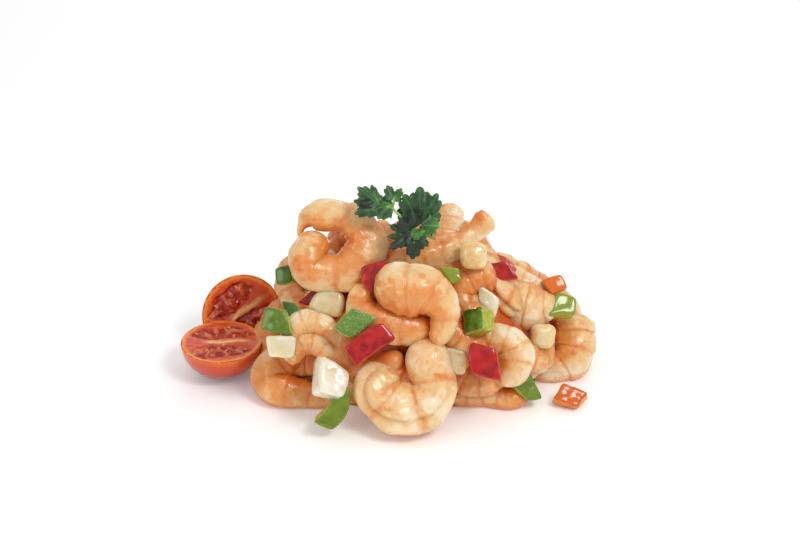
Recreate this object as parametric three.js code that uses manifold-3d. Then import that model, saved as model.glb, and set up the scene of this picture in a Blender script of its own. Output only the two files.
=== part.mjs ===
// Prawn salad as it lies in a heap: curled, peeled prawns with diced pepper and onion,
// two cherry tomato halves at its left side and a sprig of curly parsley on top.
// Millimetres, +Z up, +Y away from the viewer, standing on the plane z = 0.
import * as THREE from "three";
import { LoftGeometry } from "three/addons/geometries/LoftGeometry.js";
import { mergeVertices } from "three/addons/utils/BufferGeometryUtils.js";
import Module from "manifold-3d";

const wasm = await Module();
wasm.setup();

// ---- Driving dimensions ----
const GAP = 0.3; // between pieces that touch
const FAIRING = 0.15; // slivers smaller than this are drawn flat after the cuts
const CORE_FAIRING = 0.35; // the same for the core, which is hardly seen
const LEAF_FAIRING = 0.25; // and for the parsley
const CURL = 11.5; // radius of a prawn's curled centreline
const GIRTH = 8.2; // half the height of its body behind the head cut
const FLATNESS = 0.88; // width of the body over its height
const TAPER = 0.55; // half height at the tail over that at the head cut
const SEGMENTS = 4; // shell segments along the body
const LIFT = 3; // how far a curl climbs from head to tail
const RIDGE = 0.07; // how far a segment swells past its seams, as a share of the girth
const VEIN_CUT = 0.14; // depth of the cut along the back, as a share of the girth
const SIDES = 8; // corners of a prawn's cross-section
const COARSE = { steps: 6, sides: 5, grow: 1.3 }; // a prawn's plain outline, cut out of the heap's core
const TOMATO = { length: 31, width: 29, wall: 3.4, septum: 2.6, hollow: 2.2 };
const CORE = { width: 100, depth: 58, height: 60, bump: 2.5, back: 11 };

const COLOURS = {
  prawn: 0xe8b68c,
  greenPepper: 0x6c8a3a,
  redPepper: 0xb8252a,
  orangePepper: 0xd4652c,
  onion: 0xe2cfa9,
  tomato: 0xc9482c,
  parsley: 0x2f6a2c,
  core: 0xc9763f,
};

// ---- Where everything lies ----
// at: centre of the curl. tilt: how far the curl's axis leans from vertical; towards: the way it leans,
// 0 to the viewer, 90 to the right. head: where the head end starts round the axis, seen from
// the side that the axis points to, 0 at the right and 90 away or up. sweep: the turn from head to tail.
// line: for the prawns that the viewer sees best, points of the centre line from head to tail instead of
// a curl, each as x, y and z in the prawn's own frame and the half height of the body there.
const PRAWNS = [
  { name: "prawn_front", at: [-5.6, -26, 17.4], tilt: 52, towards: 0,
    line: [[-6.4, 6.2, 0, 6.6], [-12.3, -1.7, 0, 8.9], [-7.9, -6.7, 0, 9.6], [-1.4, -8.6, 0, 9.6], [4.8, -7.1, 0.5, 9.2], [8.4, -2.5, 1, 8.3], [8.1, 3.6, 2, 8.3], [5.9, 8.6, 3, 8.5], [-0.7, 13.6, 3, 6.9]] },
  { name: "prawn_left", at: [-47.6, -8, 7.3], tilt: 42, towards: 0,
    line: [[0.1, 10.8, 2, 5.2], [-8.4, 5.7, 1, 7.6], [-9.9, 0.6, 0, 7.7], [-5.7, -3.3, 0, 7.3], [1.4, -4.6, -1, 6.1], [8.9, -5, -1, 5.6], [19.3, -0.9, -2, 4.8]] },
  { name: "prawn_left_low", at: [-41.9, -15, 25.3], tilt: 55, towards: 0,
    line: [[-9.3, -3.8, 0, 3.9], [-4.3, 1.8, 0, 4.5], [0.1, 2.9, 0, 4.7], [4.2, 0.7, 0, 4.3], [9.1, -5.3, -1, 3.9]] },
  { name: "prawn_left_arch", at: [-40.4, -11, 31], tilt: 55, towards: 0,
    line: [[-11.2, -3.4, 0, 4.3], [-5.1, 2.2, 0, 4.9], [0.1, 3.3, 0, 4.9], [4.9, 0.3, 0, 4.3], [10.8, -6.1, 0, 3.5]] },
  { name: "prawn_top_left", at: [-36.1, 6, 59.5], tilt: 60, towards: 0,
    line: [[-1.8, 3, 0, 5.1], [-6.8, -5.3, 0, 7.8], [-5.7, -10.1, 0, 8.2], [0.2, -11.2, 0, 7.4], [6.8, -10.5, 0, 8], [12.6, -5.3, 0, 8.6], [13.8, 1.3, 0, 7.8], [10.1, 6.8, 0, 7.4], [3.8, 9.4, 0, 6.4], [-3.5, 9.4, 0, 6.2], [-7.5, 8.3, 0, 4.3], [-9.7, 5.3, 0, 1.9], [-10.2, 1.3, 0, 1]] },
  { name: "prawn_centre", at: [-1.2, -15, 44.4], tilt: 58, towards: 0,
    line: [[-17.7, 5.5, 1, 6.1], [-9.7, 6.2, 2, 9.7], [-4.3, 5.8, 2, 10.3], [1.4, 4.7, 2, 9.4], [6.1, 1.1, 2, 7.1], [7.9, -3.2, 2, 5.9], [6.9, -7.9, 1, 5], [4.2, -14.7, 0, 3.4]] },
  { name: "prawn_inner", at: [-15.1, -12, 39.6], tilt: 58, towards: 0,
    line: [[-6, 10.6, 0, 2.9], [-8.6, 4.8, 0, 5.8], [-6.8, -0.6, 0, 7.3], [-0.2, -3.5, 0, 7.7], [7.1, -5, 0, 7.3], [18.6, -5.5, 0, 5.4]] },
  { name: "prawn_top_right", at: [7.6, 8, 57.5], tilt: 58, towards: 0, fan: 1,
    line: [[-22.5, -8.3, 0, 5.1], [-12.3, -4.6, 0, 6.4], [-3.8, -3.1, 0, 6.6], [3.2, -0.5, 0, 5.7], [7.6, 2.4, 0, 4.1], [10.9, 5, 0, 4.3], [16.2, 10.3, 0, 5.1]] },
  { name: "prawn_behind_parsley", at: [4.4, 20, 54.3], tilt: 58, towards: 0,
    line: [[6.1, 12, 0, 5], [4.1, 4.7, 0, 6], [2.6, -0.2, 0, 6.2], [-2.7, -5.5, 0, 5.6], [-12.4, -8.7, 0, 4.8]] },
  { name: "prawn_right_bend", at: [37.1, 9, 31.3], tilt: 55, towards: 0,
    line: [[-15.5, 1.9, 0, 6], [-7.5, 0.4, 0, 8.8], [-2.2, 0.1, 0, 9.8], [3, -0.7, 0, 9.6], [7.5, -0.7, 0, 6.8], [13.4, 0.1, 0, 4.4]] },
  { name: "prawn_right_low", at: [29, -14, 23.3], tilt: 55, towards: 0,
    line: [[-9.8, 8.3, 0, 4.7], [-2.5, 5.9, 0, 6.2], [2.3, 3.3, 0, 7.2], [3.8, -1.1, 0, 7.2], [2.6, -5.9, 0, 6], [-0.9, -11.7, -1, 3.9]] },
  { name: "prawn_floor_right", at: [22.4, -12, 4.4], tilt: 30, towards: 0,
    line: [[-17.7, 3.3, 0, 4.8], [-7.2, 0.4, 0, 4.9], [0.6, 0, 0, 5.1], [7.6, -1.3, 0, 4.9], [16.1, -1.3, 0, 3.8]] },
  { name: "prawn_right", at: [52.5, 10, 9.4], tilt: 52, towards: 0,
    line: [[5.5, 14.4, 0, 6.7], [4.6, 5.8, 0, 8.3], [4.5, 0.8, 0, 8.7], [1.4, -3.8, 0, 7.7], [-4.7, -6.1, 0, 6.5], [-13.7, -6.7, 0, 4.9]] },
  { name: "prawn_behind_tomato", at: [-43, 24, 31], tilt: 35, towards: -10, head: 60, sweep: 225, curl: 9.5, girth: 6.8, taper: 0.6 },
  { name: "prawn_middle_right", at: [14.3, -10, 33.4], tilt: 52, towards: 0,
    line: [[8, -9.3, 0, 5.4], [-0.7, -5.2, 0, 7], [-4.7, 0, 0, 7], [-2.5, 5.5, 0, 6.2], [6.8, 8.4, 0, 5.5]] },
  { name: "prawn_back_left", at: [-47, 32, 17], tilt: 28, towards: 200, head: 40, sweep: 255, curl: 11.5, girth: 7.6, taper: 0.6 },
  { name: "prawn_back_centre", at: [-3, 46, 13], tilt: 35, towards: 185, head: 130, sweep: 270, curl: 12, girth: 8.6, taper: 0.6 },
  { name: "prawn_back_right", at: [41, 34, 8.4], tilt: 10, towards: 180, head: 200, sweep: -250, curl: 12, girth: 8.2, taper: 0.6 },
  { name: "prawn_back_middle_left", at: [-28, 32, 31], tilt: 52, towards: 170, head: 200, sweep: -240, curl: 11.5, girth: 8.4, taper: 0.6 },
  { name: "prawn_back_middle_right", at: [19, 31, 28], tilt: 50, towards: 200, head: 60, sweep: 250, curl: 11.5, girth: 8.4, taper: 0.6 },
  { name: "prawn_back_low_left", at: [-27, 42, 7.4], tilt: 6, towards: 180, head: 200, sweep: -265, curl: 11.5, girth: 8, taper: 0.6 },
  { name: "prawn_back_low_right", at: [21, 44, 7.4], tilt: 8, towards: 180, head: 330, sweep: 255, curl: 11.5, girth: 8, taper: 0.6 },
  { name: "prawn_back_middle", at: [-3, 38, 34], tilt: 48, towards: 185, head: 20, sweep: -250, curl: 11.5, girth: 8.2, taper: 0.6 },
  { name: "prawn_back_upper", at: [4, 30, 42], tilt: 40, towards: 200, head: 120, sweep: 250, curl: 11, girth: 7.8, taper: 0.6 },
  { name: "prawn_right_side", at: [45, 29, 24], tilt: 42, towards: 120, head: 190, sweep: 240, curl: 11, girth: 8, taper: 0.6 },
  { name: "prawn_middle_upper", at: [17.6, -3, 42.3], tilt: 55, towards: 0,
    line: [[8.2, 8, 0, 5.8], [-1, 4.9, 0, 6.6], [-4.7, 0.5, 0, 6.6], [-2.9, -5.1, 0, 6.2], [6.9, -8.3, 0, 5.1]] },
  { name: "prawn_behind_right", at: [35.8, 18, 35.3], tilt: 55, towards: 0,
    line: [[-14, 6.7, 0, 2.8], [-6.2, 3.8, 0, 4], [0.2, 0.7, 0, 4.6], [7.4, -3.4, 0, 4.4], [12.8, -8.9, 0, 3.6]] },
];

// Diced pieces. size: length, width and thickness; bend: how far the length curves over, in degrees;
// pinch: how much narrower the far end is; turn: round the piece's own outward axis.
// corners: of the front face instead of a size, from the lower left one counter-clockwise, with the
// thickness behind it; bow: how far its middle bulges to the upper or left side.
const DICE = [
  { name: "green_pepper_left_top", kind: "greenPepper", at: [-53.2, 10, 43.1], tilt: 60, towards: -16, thick: 5.5,
    corners: [[-1, -4.2], [4.9, -2.2], [2.7, 4.5], [-3.1, 2.2]] },
  { name: "green_pepper_by_tomato", kind: "greenPepper", at: [-55, -12, 36.2], tilt: 62, towards: -12, thick: 5,
    corners: [[-5.5, -3.8], [7.7, -4.7], [4, 4.1], [-4, 5.2]] },
  { name: "green_pepper_dark", kind: "greenPepper", at: [-49.5, -4, 36.3], tilt: 50, towards: 0, thick: 5,
    corners: [[-1.9, -4.8], [5, -1.7], [1.1, 2.2], [-3.6, 2.6]] },
  { name: "green_pepper_middle", kind: "greenPepper", at: [-26.2, -20, 40.2], tilt: 58, towards: 0, thick: 4.5,
    corners: [[-7, -1.8], [-0.6, -5.5], [8.5, 2], [-0.6, 5.4]] },
  { name: "green_pepper_front", kind: "greenPepper", at: [-34.1, -31, 11.2], tilt: 66, towards: 10, thick: 6.5, bow: 2.4,
    corners: [[-7.7, -3.9], [-1.1, -8.5], [6.5, 6.6], [0.9, 8.3]] },
  { name: "green_pepper_cube", kind: "greenPepper", at: [19.2, -16, 38.5], size: [10, 9.5, 8], bend: 5, pinch: 0.1, tilt: 62, towards: -58, turn: 38 },
  { name: "green_pepper_right", kind: "greenPepper", at: [52.2, 9, 30.2], tilt: 45, towards: 14, thick: 7.5, bow: 0.8,
    corners: [[-7.9, -3.8], [2, -5.5], [4.6, 1.2], [-3.4, 4.7]] },
  { name: "green_pepper_floor", kind: "greenPepper", at: [38.2, -13, 8], tilt: 55, towards: 18, thick: 7,
    corners: [[-6.6, 2.7], [-1.9, -5.2], [4.1, -4.7], [-0.2, 7.5]] },
  { name: "green_pepper_pale", kind: "greenPepper", at: [9.6, -7, 53], tilt: 60, towards: 0, thick: 5,
    corners: [[-5.6, 2.9], [-0.3, -3.6], [3.1, -1.7], [2.3, 2.5]] },
  { name: "red_pepper_centre", kind: "redPepper", at: [-20.4, -25, 34.4], tilt: 58, towards: 0, thick: 7, bow: -0.8,
    corners: [[-9.6, -1.3], [-4, -8.5], [9.9, 2], [3.9, 7.7]] },
  { name: "red_pepper_top", kind: "redPepper", at: [-19.8, -7, 52.7], tilt: 58, towards: 0, thick: 5,
    corners: [[-3.6, -3], [0.6, -6.8], [7, 6.5], [-3.6, 3.1]] },
  { name: "red_pepper_right", kind: "redPepper", at: [20.7, -25, 27], tilt: 58, towards: -8, thick: 7,
    corners: [[-4.9, -5], [7, -6.7], [4.3, 4.8], [-5.4, 7.1]] },
  { name: "red_pepper_upper", kind: "redPepper", at: [27.6, 6, 47], tilt: 58, towards: 0, thick: 5,
    corners: [[-4.1, -3.6], [6.8, -3.2], [2.5, 3.8], [-5.6, 2.6]] },
  { name: "red_pepper_strip", kind: "redPepper", at: [28.3, 14, 46.1], tilt: 48, towards: 0, thick: 2.8, bow: 1.2,
    corners: [[-5.5, 1.5], [3.4, -4.2], [6.2, -3], [-4.3, 4.3]] },
  { name: "orange_pepper_upper", kind: "orangePepper", at: [49, 14, 37], tilt: 50, towards: 0, thick: 6,
    corners: [[-5.9, 1.2], [-1.6, -4.7], [4.7, -1.6], [1.7, 2.8]] },
  { name: "orange_pepper_floor", kind: "orangePepper", at: [54, -13, 4.5], tilt: 38, towards: 0, thick: 6,
    corners: [[-7.4, -2.6], [2.2, -5.8], [7.1, -0.1], [-2.9, 4.4]] },
  { name: "onion_left", kind: "onion", at: [-53, -18, 28.9], tilt: 60, towards: 0, thick: 5.5,
    corners: [[-4.2, -3.7], [4.9, -4.5], [6.1, 3.9], [-6.1, 4.7]] },
  { name: "onion_front", kind: "onion", at: [-33.4, -28, 22.1], tilt: 50, towards: 30, thick: 9,
    corners: [[-8.8, -3.2], [-0.4, -8], [4.9, 0.4], [-3.4, 9.6]] },
  { name: "onion_yellow", kind: "onion", at: [-35.8, -5, 39.9], tilt: 58, towards: 0, thick: 7, round: 0.5, bow: 0.8,
    corners: [[-7.7, -3.3], [5, -6.3], [6.9, 3.3], [-3.5, 6]] },
  { name: "onion_sliver", kind: "onion", at: [22.7, -6, 41.6], tilt: 58, towards: 0, thick: 3.5,
    corners: [[-3.9, 0], [2.2, -6.5], [4.6, 0.4], [-3.1, 6.1]] },
  { name: "onion_top", kind: "onion", at: [17.4, -2, 57.9], tilt: 58, towards: 0, thick: 8, round: 0.6,
    corners: [[-4.3, -4.7], [4.4, -5.1], [4.1, 4.8], [-4.7, 4.4]] },
  { name: "onion_middle", kind: "onion", at: [10.5, -20, 24.2], tilt: 58, towards: 0, thick: 5.5,
    corners: [[-3.1, -3.5], [3.8, -5.4], [4.9, 3.8], [-5.7, 5.3]] },
  { name: "red_pepper_back_low", kind: "redPepper", at: [-27, 44, 27], size: [14, 10, 6], bend: 30, pinch: 0.1, tilt: 60, towards: 170, turn: 25 },
  { name: "green_pepper_back", kind: "greenPepper", at: [9, 47, 30], size: [12, 10, 5], bend: 20, pinch: 0.2, tilt: 55, towards: 190, turn: -20 },
  { name: "onion_back", kind: "onion", at: [-8, 44, 39], size: [13, 12, 5], bend: 20, pinch: 0.1, tilt: 58, towards: 185, turn: 40 },
  { name: "red_pepper_back_right", kind: "redPepper", at: [32, 36, 30.5], size: [12, 10, 6], bend: 15, pinch: 0.3, tilt: 50, towards: 160, turn: 60 },
  { name: "green_pepper_back_left", kind: "greenPepper", at: [-48, 34, 26], size: [12, 9, 5], bend: 40, pinch: 0.1, tilt: 50, towards: 200, turn: 10 },
  { name: "onion_right", kind: "onion", at: [44, -2, 23.8], tilt: 58, towards: 0, thick: 8, round: 0.7,
    corners: [[-5.6, -3.7], [3.8, -4.8], [5, 3.7], [-4.4, 4.9]] },
  { name: "red_pepper_behind", kind: "redPepper", at: [-38.7, 4, 37], tilt: 55, towards: 0, thick: 4,
    corners: [[-9.9, -2.5], [3.4, -4.5], [8, 2.6], [-1.3, 3.7]] },
];

const TOMATOES = [
  { name: "tomato_front", at: [-77.4, 8.5, 14.7], tilt: 2, towards: 0, turn: 4 },
  { name: "tomato_back", at: [-71, 26, 16.8], tilt: 68, towards: 5, turn: 38 },
];

// The sprig of parsley: leaflets on a branching stem. size: across; lobes: number of points;
// ruffle: how far the lobes wave up and down, as a share of the size.
const PARSLEY = {
  at: [-5, -5, 70],
  thick: 1.1,
  leaflets: [
    { at: [-16.7, 6.1, 10.5], size: 7.4, lobes: 5, ruffle: 0.12, tilt: 58, towards: -10, turn: 20 },
    { at: [-14.2, 7.4, 11.8], size: 5.4, lobes: 5, ruffle: 0.12, tilt: 50, towards: 10, turn: 70 },
    { at: [-14.2, 4.5, 7.7], size: 6, lobes: 5, ruffle: 0.12, tilt: 66, towards: -20, turn: 10 },
    { at: [-8.5, 6.4, 11.1], size: 4.5, lobes: 3, ruffle: 0.12, tilt: 60, towards: 0, turn: 40 },
    { at: [-5.6, 6.6, 11.4], size: 4.3, lobes: 3, ruffle: 0.12, tilt: 55, towards: 15, turn: 60 },
    { at: [2.7, 4.3, 9.4], size: 9.2, lobes: 5, ruffle: 0.26, tilt: 62, towards: 0, turn: 0 },
    { at: [-1.3, 4.3, 7.4], size: 7.6, lobes: 5, ruffle: 0.26, tilt: 48, towards: -25, turn: 80 },
    { at: [6.3, 4.5, 7.7], size: 7.4, lobes: 5, ruffle: 0.26, tilt: 70, towards: 30, turn: 30 },
    { at: [5.5, 0.9, 3.5], size: 7.2, lobes: 5, ruffle: 0.26, tilt: 66, towards: 40, turn: 50 },
    { at: [-2.4, 0.2, 4.3], size: 7.2, lobes: 5, ruffle: 0.26, tilt: 60, towards: -20, turn: 10 },
    { at: [-5.2, -1.8, 0.9], size: 6.2, lobes: 5, ruffle: 0.26, tilt: 64, towards: -30, turn: 20 },
    { at: [-3.8, -4.4, -2.6], size: 6, lobes: 5, ruffle: 0.26, tilt: 74, towards: -35, turn: 0 },
    { at: [1.2, -5.1, -3.8], size: 7, lobes: 5, ruffle: 0.26, tilt: 78, towards: 20, turn: 40 },
  ],
  stems: [
    [[-15.3, 5, 8.6], [-10.2, 4.5, 7.7], [-5.9, 3.2, 5.5], [-2.7, 1.8, 3], [0.2, 0.3, 0.6], [4.1, -1.2, -1.1], [8.1, -2.3, -2.1]],
    [[-8.8, 4.3, 7.4], [-7.4, 5.5, 9.6], [-7, 6.6, 11.4]],
    [[-0.2, 0.5, 0.9], [1.6, 2.8, 4.9], [3, 4.8, 8.3]],
    [[-0.5, 0.5, 0.9], [-3.1, -1.1, 0.1], [-5.2, -2.7, -0.7]],
    [[0.2, 0.1, 0.2], [1.2, -2.6, -1.5], [1.2, -4.3, -3.4]],
  ],
};

// ---- Solids ----
const radians = THREE.MathUtils.degToRad;

/** Matrix of a piece at a point, its own +Z leaning by tilt towards a compass direction, after a turn about it. */
function placement({ at, tilt = 0, towards = 0, turn = 0 }) {
  return new THREE.Matrix4()
    .makeTranslation(...at)
    .multiply(new THREE.Matrix4().makeRotationZ(radians(towards)))
    .multiply(new THREE.Matrix4().makeRotationX(radians(tilt)))
    .multiply(new THREE.Matrix4().makeRotationZ(radians(turn)));
}

function toSolid(geometry) {
  const bare = new THREE.BufferGeometry().setAttribute("position", geometry.getAttribute("position"));
  if (geometry.index) bare.setIndex(geometry.index);
  const merged = mergeVertices(bare, 1e-4);
  return new wasm.Manifold(
    new wasm.Mesh({
      numProp: 3,
      vertProperties: merged.attributes.position.array,
      triVerts: new Uint32Array(merged.index.array),
    }),
  );
}

function toGeometry(solid) {
  const { vertProperties, triVerts, numProp, numVert } = solid.getMesh();
  const points = new Float32Array(numVert * 3);
  for (let i = 0; i < numVert; i++) points.set(vertProperties.subarray(i * numProp, i * numProp + 3), i * 3);
  return new THREE.BufferGeometry()
    .setAttribute("position", new THREE.BufferAttribute(points, 3))
    .setIndex(new THREE.BufferAttribute(triVerts, 1));
}

function largestBody(solid) {
  return solid.decompose().reduce((best, body) => (body.volume() > best.volume() ? body : best));
}

/** The share of its height that a prawn's body keeps near its two ends, which are rounded off. */
function roundedEnds(u, length, head, tail, fan) {
  const fromHead = THREE.MathUtils.clamp((u * length) / (0.8 * head), 0, 1);
  const fromTail = THREE.MathUtils.clamp(((1 - u) * length) / ((fan ? 0.3 : 1.3) * tail), 0, 1);
  return (1 - (1 - fromHead) ** 2.6) ** 0.45 * (1 - (1 - fromTail) ** 2.2) ** 0.5;
}

/** The centre line of a prawn that lies in a curl. at(u): point, outward direction and half heights. */
function alongCurl({ head, sweep, curl = CURL, girth = GIRTH, taper = TAPER, spiral = 0.1 }) {
  const at = (u) => {
    const angle = radians(head + sweep * u);
    const out = new THREE.Vector3(Math.cos(angle), Math.sin(angle), 0);
    const centre = out.clone().multiplyScalar(curl * (1 + spiral * (0.5 - u)));
    centre.z = LIFT * (u - 0.5);
    const tall = girth * (1 - (1 - taper) * THREE.MathUtils.clamp(u, 0, 1) ** 1.4);
    return { centre, out, tall, inward: tall };
  };
  return { at, length: radians(Math.abs(sweep)) * curl, way: Math.sign(sweep) };
}

/** Radius of the circle through three points of a line. */
function bendRadius([ax, ay], [bx, by], [cx, cy]) {
  const area = Math.abs((bx - ax) * (cy - ay) - (by - ay) * (cx - ax));
  return (Math.hypot(bx - ax, by - ay) * Math.hypot(cx - bx, cy - by) * Math.hypot(cx - ax, cy - ay)) / (2 * area + 1e-6);
}

/** The centre line of a prawn that is given by its points. The inner side of a tight bend stays clear of its middle. */
function alongLine({ line }) {
  const steps = line.slice(1).map((point, i) => Math.hypot(point[0] - line[i][0], point[1] - line[i][1]));
  const length = steps.reduce((sum, step) => sum + step);
  const shares = [0];
  for (const step of steps) shares.push(shares.at(-1) + step / length);
  const last = line.length - 1;
  const inside = line.slice(1, last).map((point, i) => bendRadius(line[i], point, line[i + 2]));
  const reach = [inside[0], ...inside, inside.at(-1)];
  const slopes = line.map((_, i) => {
    const [before, after] = [Math.max(i - 1, 0), Math.min(i + 1, last)];
    return line[i].map((_, k) => (line[after][k] - line[before][k]) / (shares[after] - shares[before]));
  });
  let turning = 0;
  for (let i = 2; i <= last; i++) {
    const [a, b, c] = [line[i - 2], line[i - 1], line[i]];
    turning += (b[0] - a[0]) * (c[1] - b[1]) - (b[1] - a[1]) * (c[0] - b[0]);
  }
  const way = Math.sign(turning);
  const at = (u) => {
    let k = 0;
    while (k < last - 1 && shares[k + 1] < u) k++;
    const span = shares[k + 1] - shares[k];
    const t = THREE.MathUtils.clamp((u - shares[k]) / span, 0, 1);
    const between = (i, w) => w[0] * line[k][i] + w[1] * span * slopes[k][i] + w[2] * line[k + 1][i] + w[3] * span * slopes[k + 1][i];
    const place = [2 * t ** 3 - 3 * t ** 2 + 1, t ** 3 - 2 * t ** 2 + t, 3 * t ** 2 - 2 * t ** 3, t ** 3 - t ** 2];
    const course = [6 * t ** 2 - 6 * t, 3 * t ** 2 - 4 * t + 1, 6 * t - 6 * t ** 2, 3 * t ** 2 - 2 * t];
    const along = new THREE.Vector3(between(0, course), between(1, course), 0).normalize();
    const beyond = (u - THREE.MathUtils.clamp(u, 0, 1)) * length;
    const centre = new THREE.Vector3(between(0, place), between(1, place), between(2, place)).addScaledVector(along, beyond);
    const out = new THREE.Vector3(along.y, -along.x, 0).multiplyScalar(way);
    const tall = between(3, place);
    return { centre, out, tall, inward: Math.min(tall, 0.95 * THREE.MathUtils.lerp(reach[k], reach[k + 1], t)) };
  };
  return { at, length, way };
}

/** Cross-sections of a prawn, set along its centre line at shares of its length from head to tail. */
function prawnSections(spec, shares, sides, grow, blunt = 0) {
  const { at, length, way } = spec.line ? alongLine(spec) : alongCurl(spec);
  const { fan = 0 } = spec;
  return shares.map((u) => {
    const { centre, out, tall: body, inward } = at(u + (2 * u - 1) * (grow / length));
    const corner = blunt ? 1 / Math.cos(Math.PI / sides) : 1;
    const share = THREE.MathUtils.clamp(u, blunt, 1 - blunt);
    const kept = roundedEnds(share, length, at(0).tall, at(1).tall, fan);
    const ridge = 1 - RIDGE + RIDGE * Math.abs(Math.sin(Math.PI * SEGMENTS * share));
    const tall = body * kept * ridge * corner + grow;
    const wide = tall * (FLATNESS - fan * 0.6 * THREE.MathUtils.smoothstep(u, 0.55, 0.85));
    return Array.from({ length: sides }, (_, i) => {
      const around = -way * ((i * 2 * Math.PI) / sides);
      const cut = i === 0 && grow === 0 && u > 0.02 && u < 0.75 ? VEIN_CUT * tall : 0;
      const side = Math.cos(around) < 0 ? inward / body : 1;
      const point = centre.clone().addScaledVector(out, tall * side * Math.cos(around) - cut);
      point.z += wide * Math.sin(around);
      return point;
    });
  });
}

/** A peeled prawn, lofted round its curl with segment ridges and the cut along its back. */
function prawnSolid(spec, grow = 0) {
  const seams = Array.from({ length: SEGMENTS * 2 - 1 }, (_, i) => (i + 1) / (SEGMENTS * 2));
  const sections = prawnSections(spec, [0.004, 0.035, ...seams, 0.965, 0.996], SIDES, grow);
  return toSolid(new LoftGeometry(sections, { capStart: true, capEnd: true }));
}

/** The plain outline that a prawn leaves in the core of the heap. */
function prawnOutline(spec) {
  const shares = Array.from({ length: COARSE.steps + 1 }, (_, i) => i / COARSE.steps);
  const sections = prawnSections(spec, shares, COARSE.sides, COARSE.grow, 0.12);
  return toSolid(new LoftGeometry(sections, { capStart: true, capEnd: true }));
}

/** A slab's point with the curve of the wall that it was cut from, narrower at one end. */
function bentSlab({ size: [long], bend, pinch }, [x, y, z]) {
  const radius = long / radians(Math.max(bend, 1));
  const narrowed = y * (1 - pinch * (x / long + 0.5));
  return [(radius + z) * Math.sin(x / radius), narrowed, (radius + z) * Math.cos(x / radius) - radius];
}

/** A slab's point drawn out to the corners of the piece's front face, bowed along its longer side. */
function betweenCorners({ corners: [a, b, c, d], bow = 0 }, [long, wide], [x, y, z]) {
  const [across, up] = [0.5 + x / long, 0.5 + y / wide];
  const flat = [0, 1].map(
    (k) => a[k] * (1 - across) * (1 - up) + b[k] * across * (1 - up) + c[k] * across * up + d[k] * (1 - across) * up,
  );
  const isLong = long > wide;
  const to = isLong ? [d[0] - a[0] + c[0] - b[0], d[1] - a[1] + c[1] - b[1]] : [b[0] - a[0] + c[0] - d[0], b[1] - a[1] + c[1] - d[1]];
  const part = 2 * (isLong ? across : up) - 1;
  const shift = (bow * (1 - part ** 2)) / Math.hypot(...to);
  return [flat[0] + to[0] * shift, flat[1] + to[1] * shift, z];
}

/** Length, width and thickness of a piece; of one given by its corners, the mean ones. */
function sizeOf({ size, corners, thick }) {
  if (size) return size;
  const [a, b, c, d] = corners;
  const apart = (p, q) => Math.hypot(q[0] - p[0], q[1] - p[1]);
  return [(apart(a, b) + apart(d, c)) / 2, (apart(a, d) + apart(b, c)) / 2, thick];
}

/** A diced piece: a slab with its corners drawn in a little. */
function diceSolid(spec, grow = 0) {
  const { round = 0.12 } = spec;
  const [long, wide, thick] = sizeOf(spec);
  const box = new THREE.BoxGeometry(long + 2 * grow, wide + 2 * grow, thick + 2 * grow, 3, 2, 1);
  const points = box.getAttribute("position");
  for (let i = 0; i < points.count; i++) {
    const corner = Math.hypot(points.getX(i) / long, points.getY(i) / wide, points.getZ(i) / thick) * 2;
    const drawn = 1 + round * Math.min(0, 1.1 / corner - 1);
    const point = [points.getX(i) * drawn, points.getY(i) * drawn, points.getZ(i) * drawn];
    points.setXYZ(i, ...(spec.corners ? betweenCorners(spec, [long, wide], point) : bentSlab(spec, point)));
  }
  return toSolid(box);
}

function ellipsoid(radii, centre, rings = 10, spokes = 18) {
  const ball = new THREE.SphereGeometry(1, spokes, rings).rotateX(Math.PI / 2);
  return toSolid(ball.scale(...radii).translate(...centre));
}

function slabBelow(height, size = 400) {
  return toSolid(new THREE.BoxGeometry(size, size, size).translate(0, 0, height - size / 2));
}

/** Half a cherry tomato, cut lengthways, with a hollow on each side of its septum. */
function tomatoSolid(spec, grow = 0) {
  const { length, width, wall, septum, hollow } = TOMATO;
  const radii = [length / 2 + grow, width / 2 + grow, width / 2 + grow];
  let half = ellipsoid(radii, [0, 0, 0]).intersect(slabBelow(grow));
  if (grow) return half;
  const across = (width / 2 - wall - septum / 2) / 2;
  for (const side of [-1, 1]) {
    const centre = [0, side * (septum / 2 + across), 0];
    half = half.subtract(ellipsoid([length / 2 - wall - 1, across, hollow], centre, 6, 12));
  }
  return half;
}

/** A thin lobed leaflet, its rim waving up and down; both faces are split into the same triangles. */
function leafletSolid({ size, lobes, ruffle }, thick, grow = 0) {
  const steps = lobes * 2;
  const points = [];
  for (const side of [1, -1]) {
    points.push(0, 0, side * (thick / 2 + grow));
    for (let i = 0; i < steps; i++) {
      const angle = (i * 2 * Math.PI) / steps;
      const reach = (size / 2) * (1 + 0.22 * Math.cos(lobes * angle)) + grow;
      const wave = ruffle * size * Math.sin(lobes * angle + 0.8) + 0.1 * size * Math.cos(angle);
      points.push(reach * Math.cos(angle), reach * Math.sin(angle), wave + side * (thick / 2 + grow));
    }
  }
  const faces = [];
  const under = steps + 1;
  for (let i = 0; i < steps; i++) {
    const [a, b] = [1 + i, 1 + ((i + 1) % steps)];
    faces.push(0, a, b, under, under + b, under + a);
    faces.push(a, under + a, under + b, a, under + b, b);
  }
  const leaflet = new THREE.BufferGeometry();
  leaflet.setAttribute("position", new THREE.Float32BufferAttribute(points, 3)).setIndex(faces);
  return toSolid(leaflet);
}

function parsleySolid({ thick, leaflets, stems }, grow = 0) {
  const parts = leaflets.map((leaf) => leafletSolid(leaf, thick, grow).transform(asMatrix(placement(leaf))));
  for (const stem of stems) {
    const line = new THREE.CatmullRomCurve3(stem.map((point) => new THREE.Vector3(...point)));
    const sections = [];
    for (let i = 0; i < stem.length; i++) sections.push(ringAround(line, i / (stem.length - 1), thick * 0.75 + grow, 4));
    parts.push(toSolid(new LoftGeometry(sections, { capStart: true, capEnd: true })));
  }
  return wasm.Manifold.union(parts);
}

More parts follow.
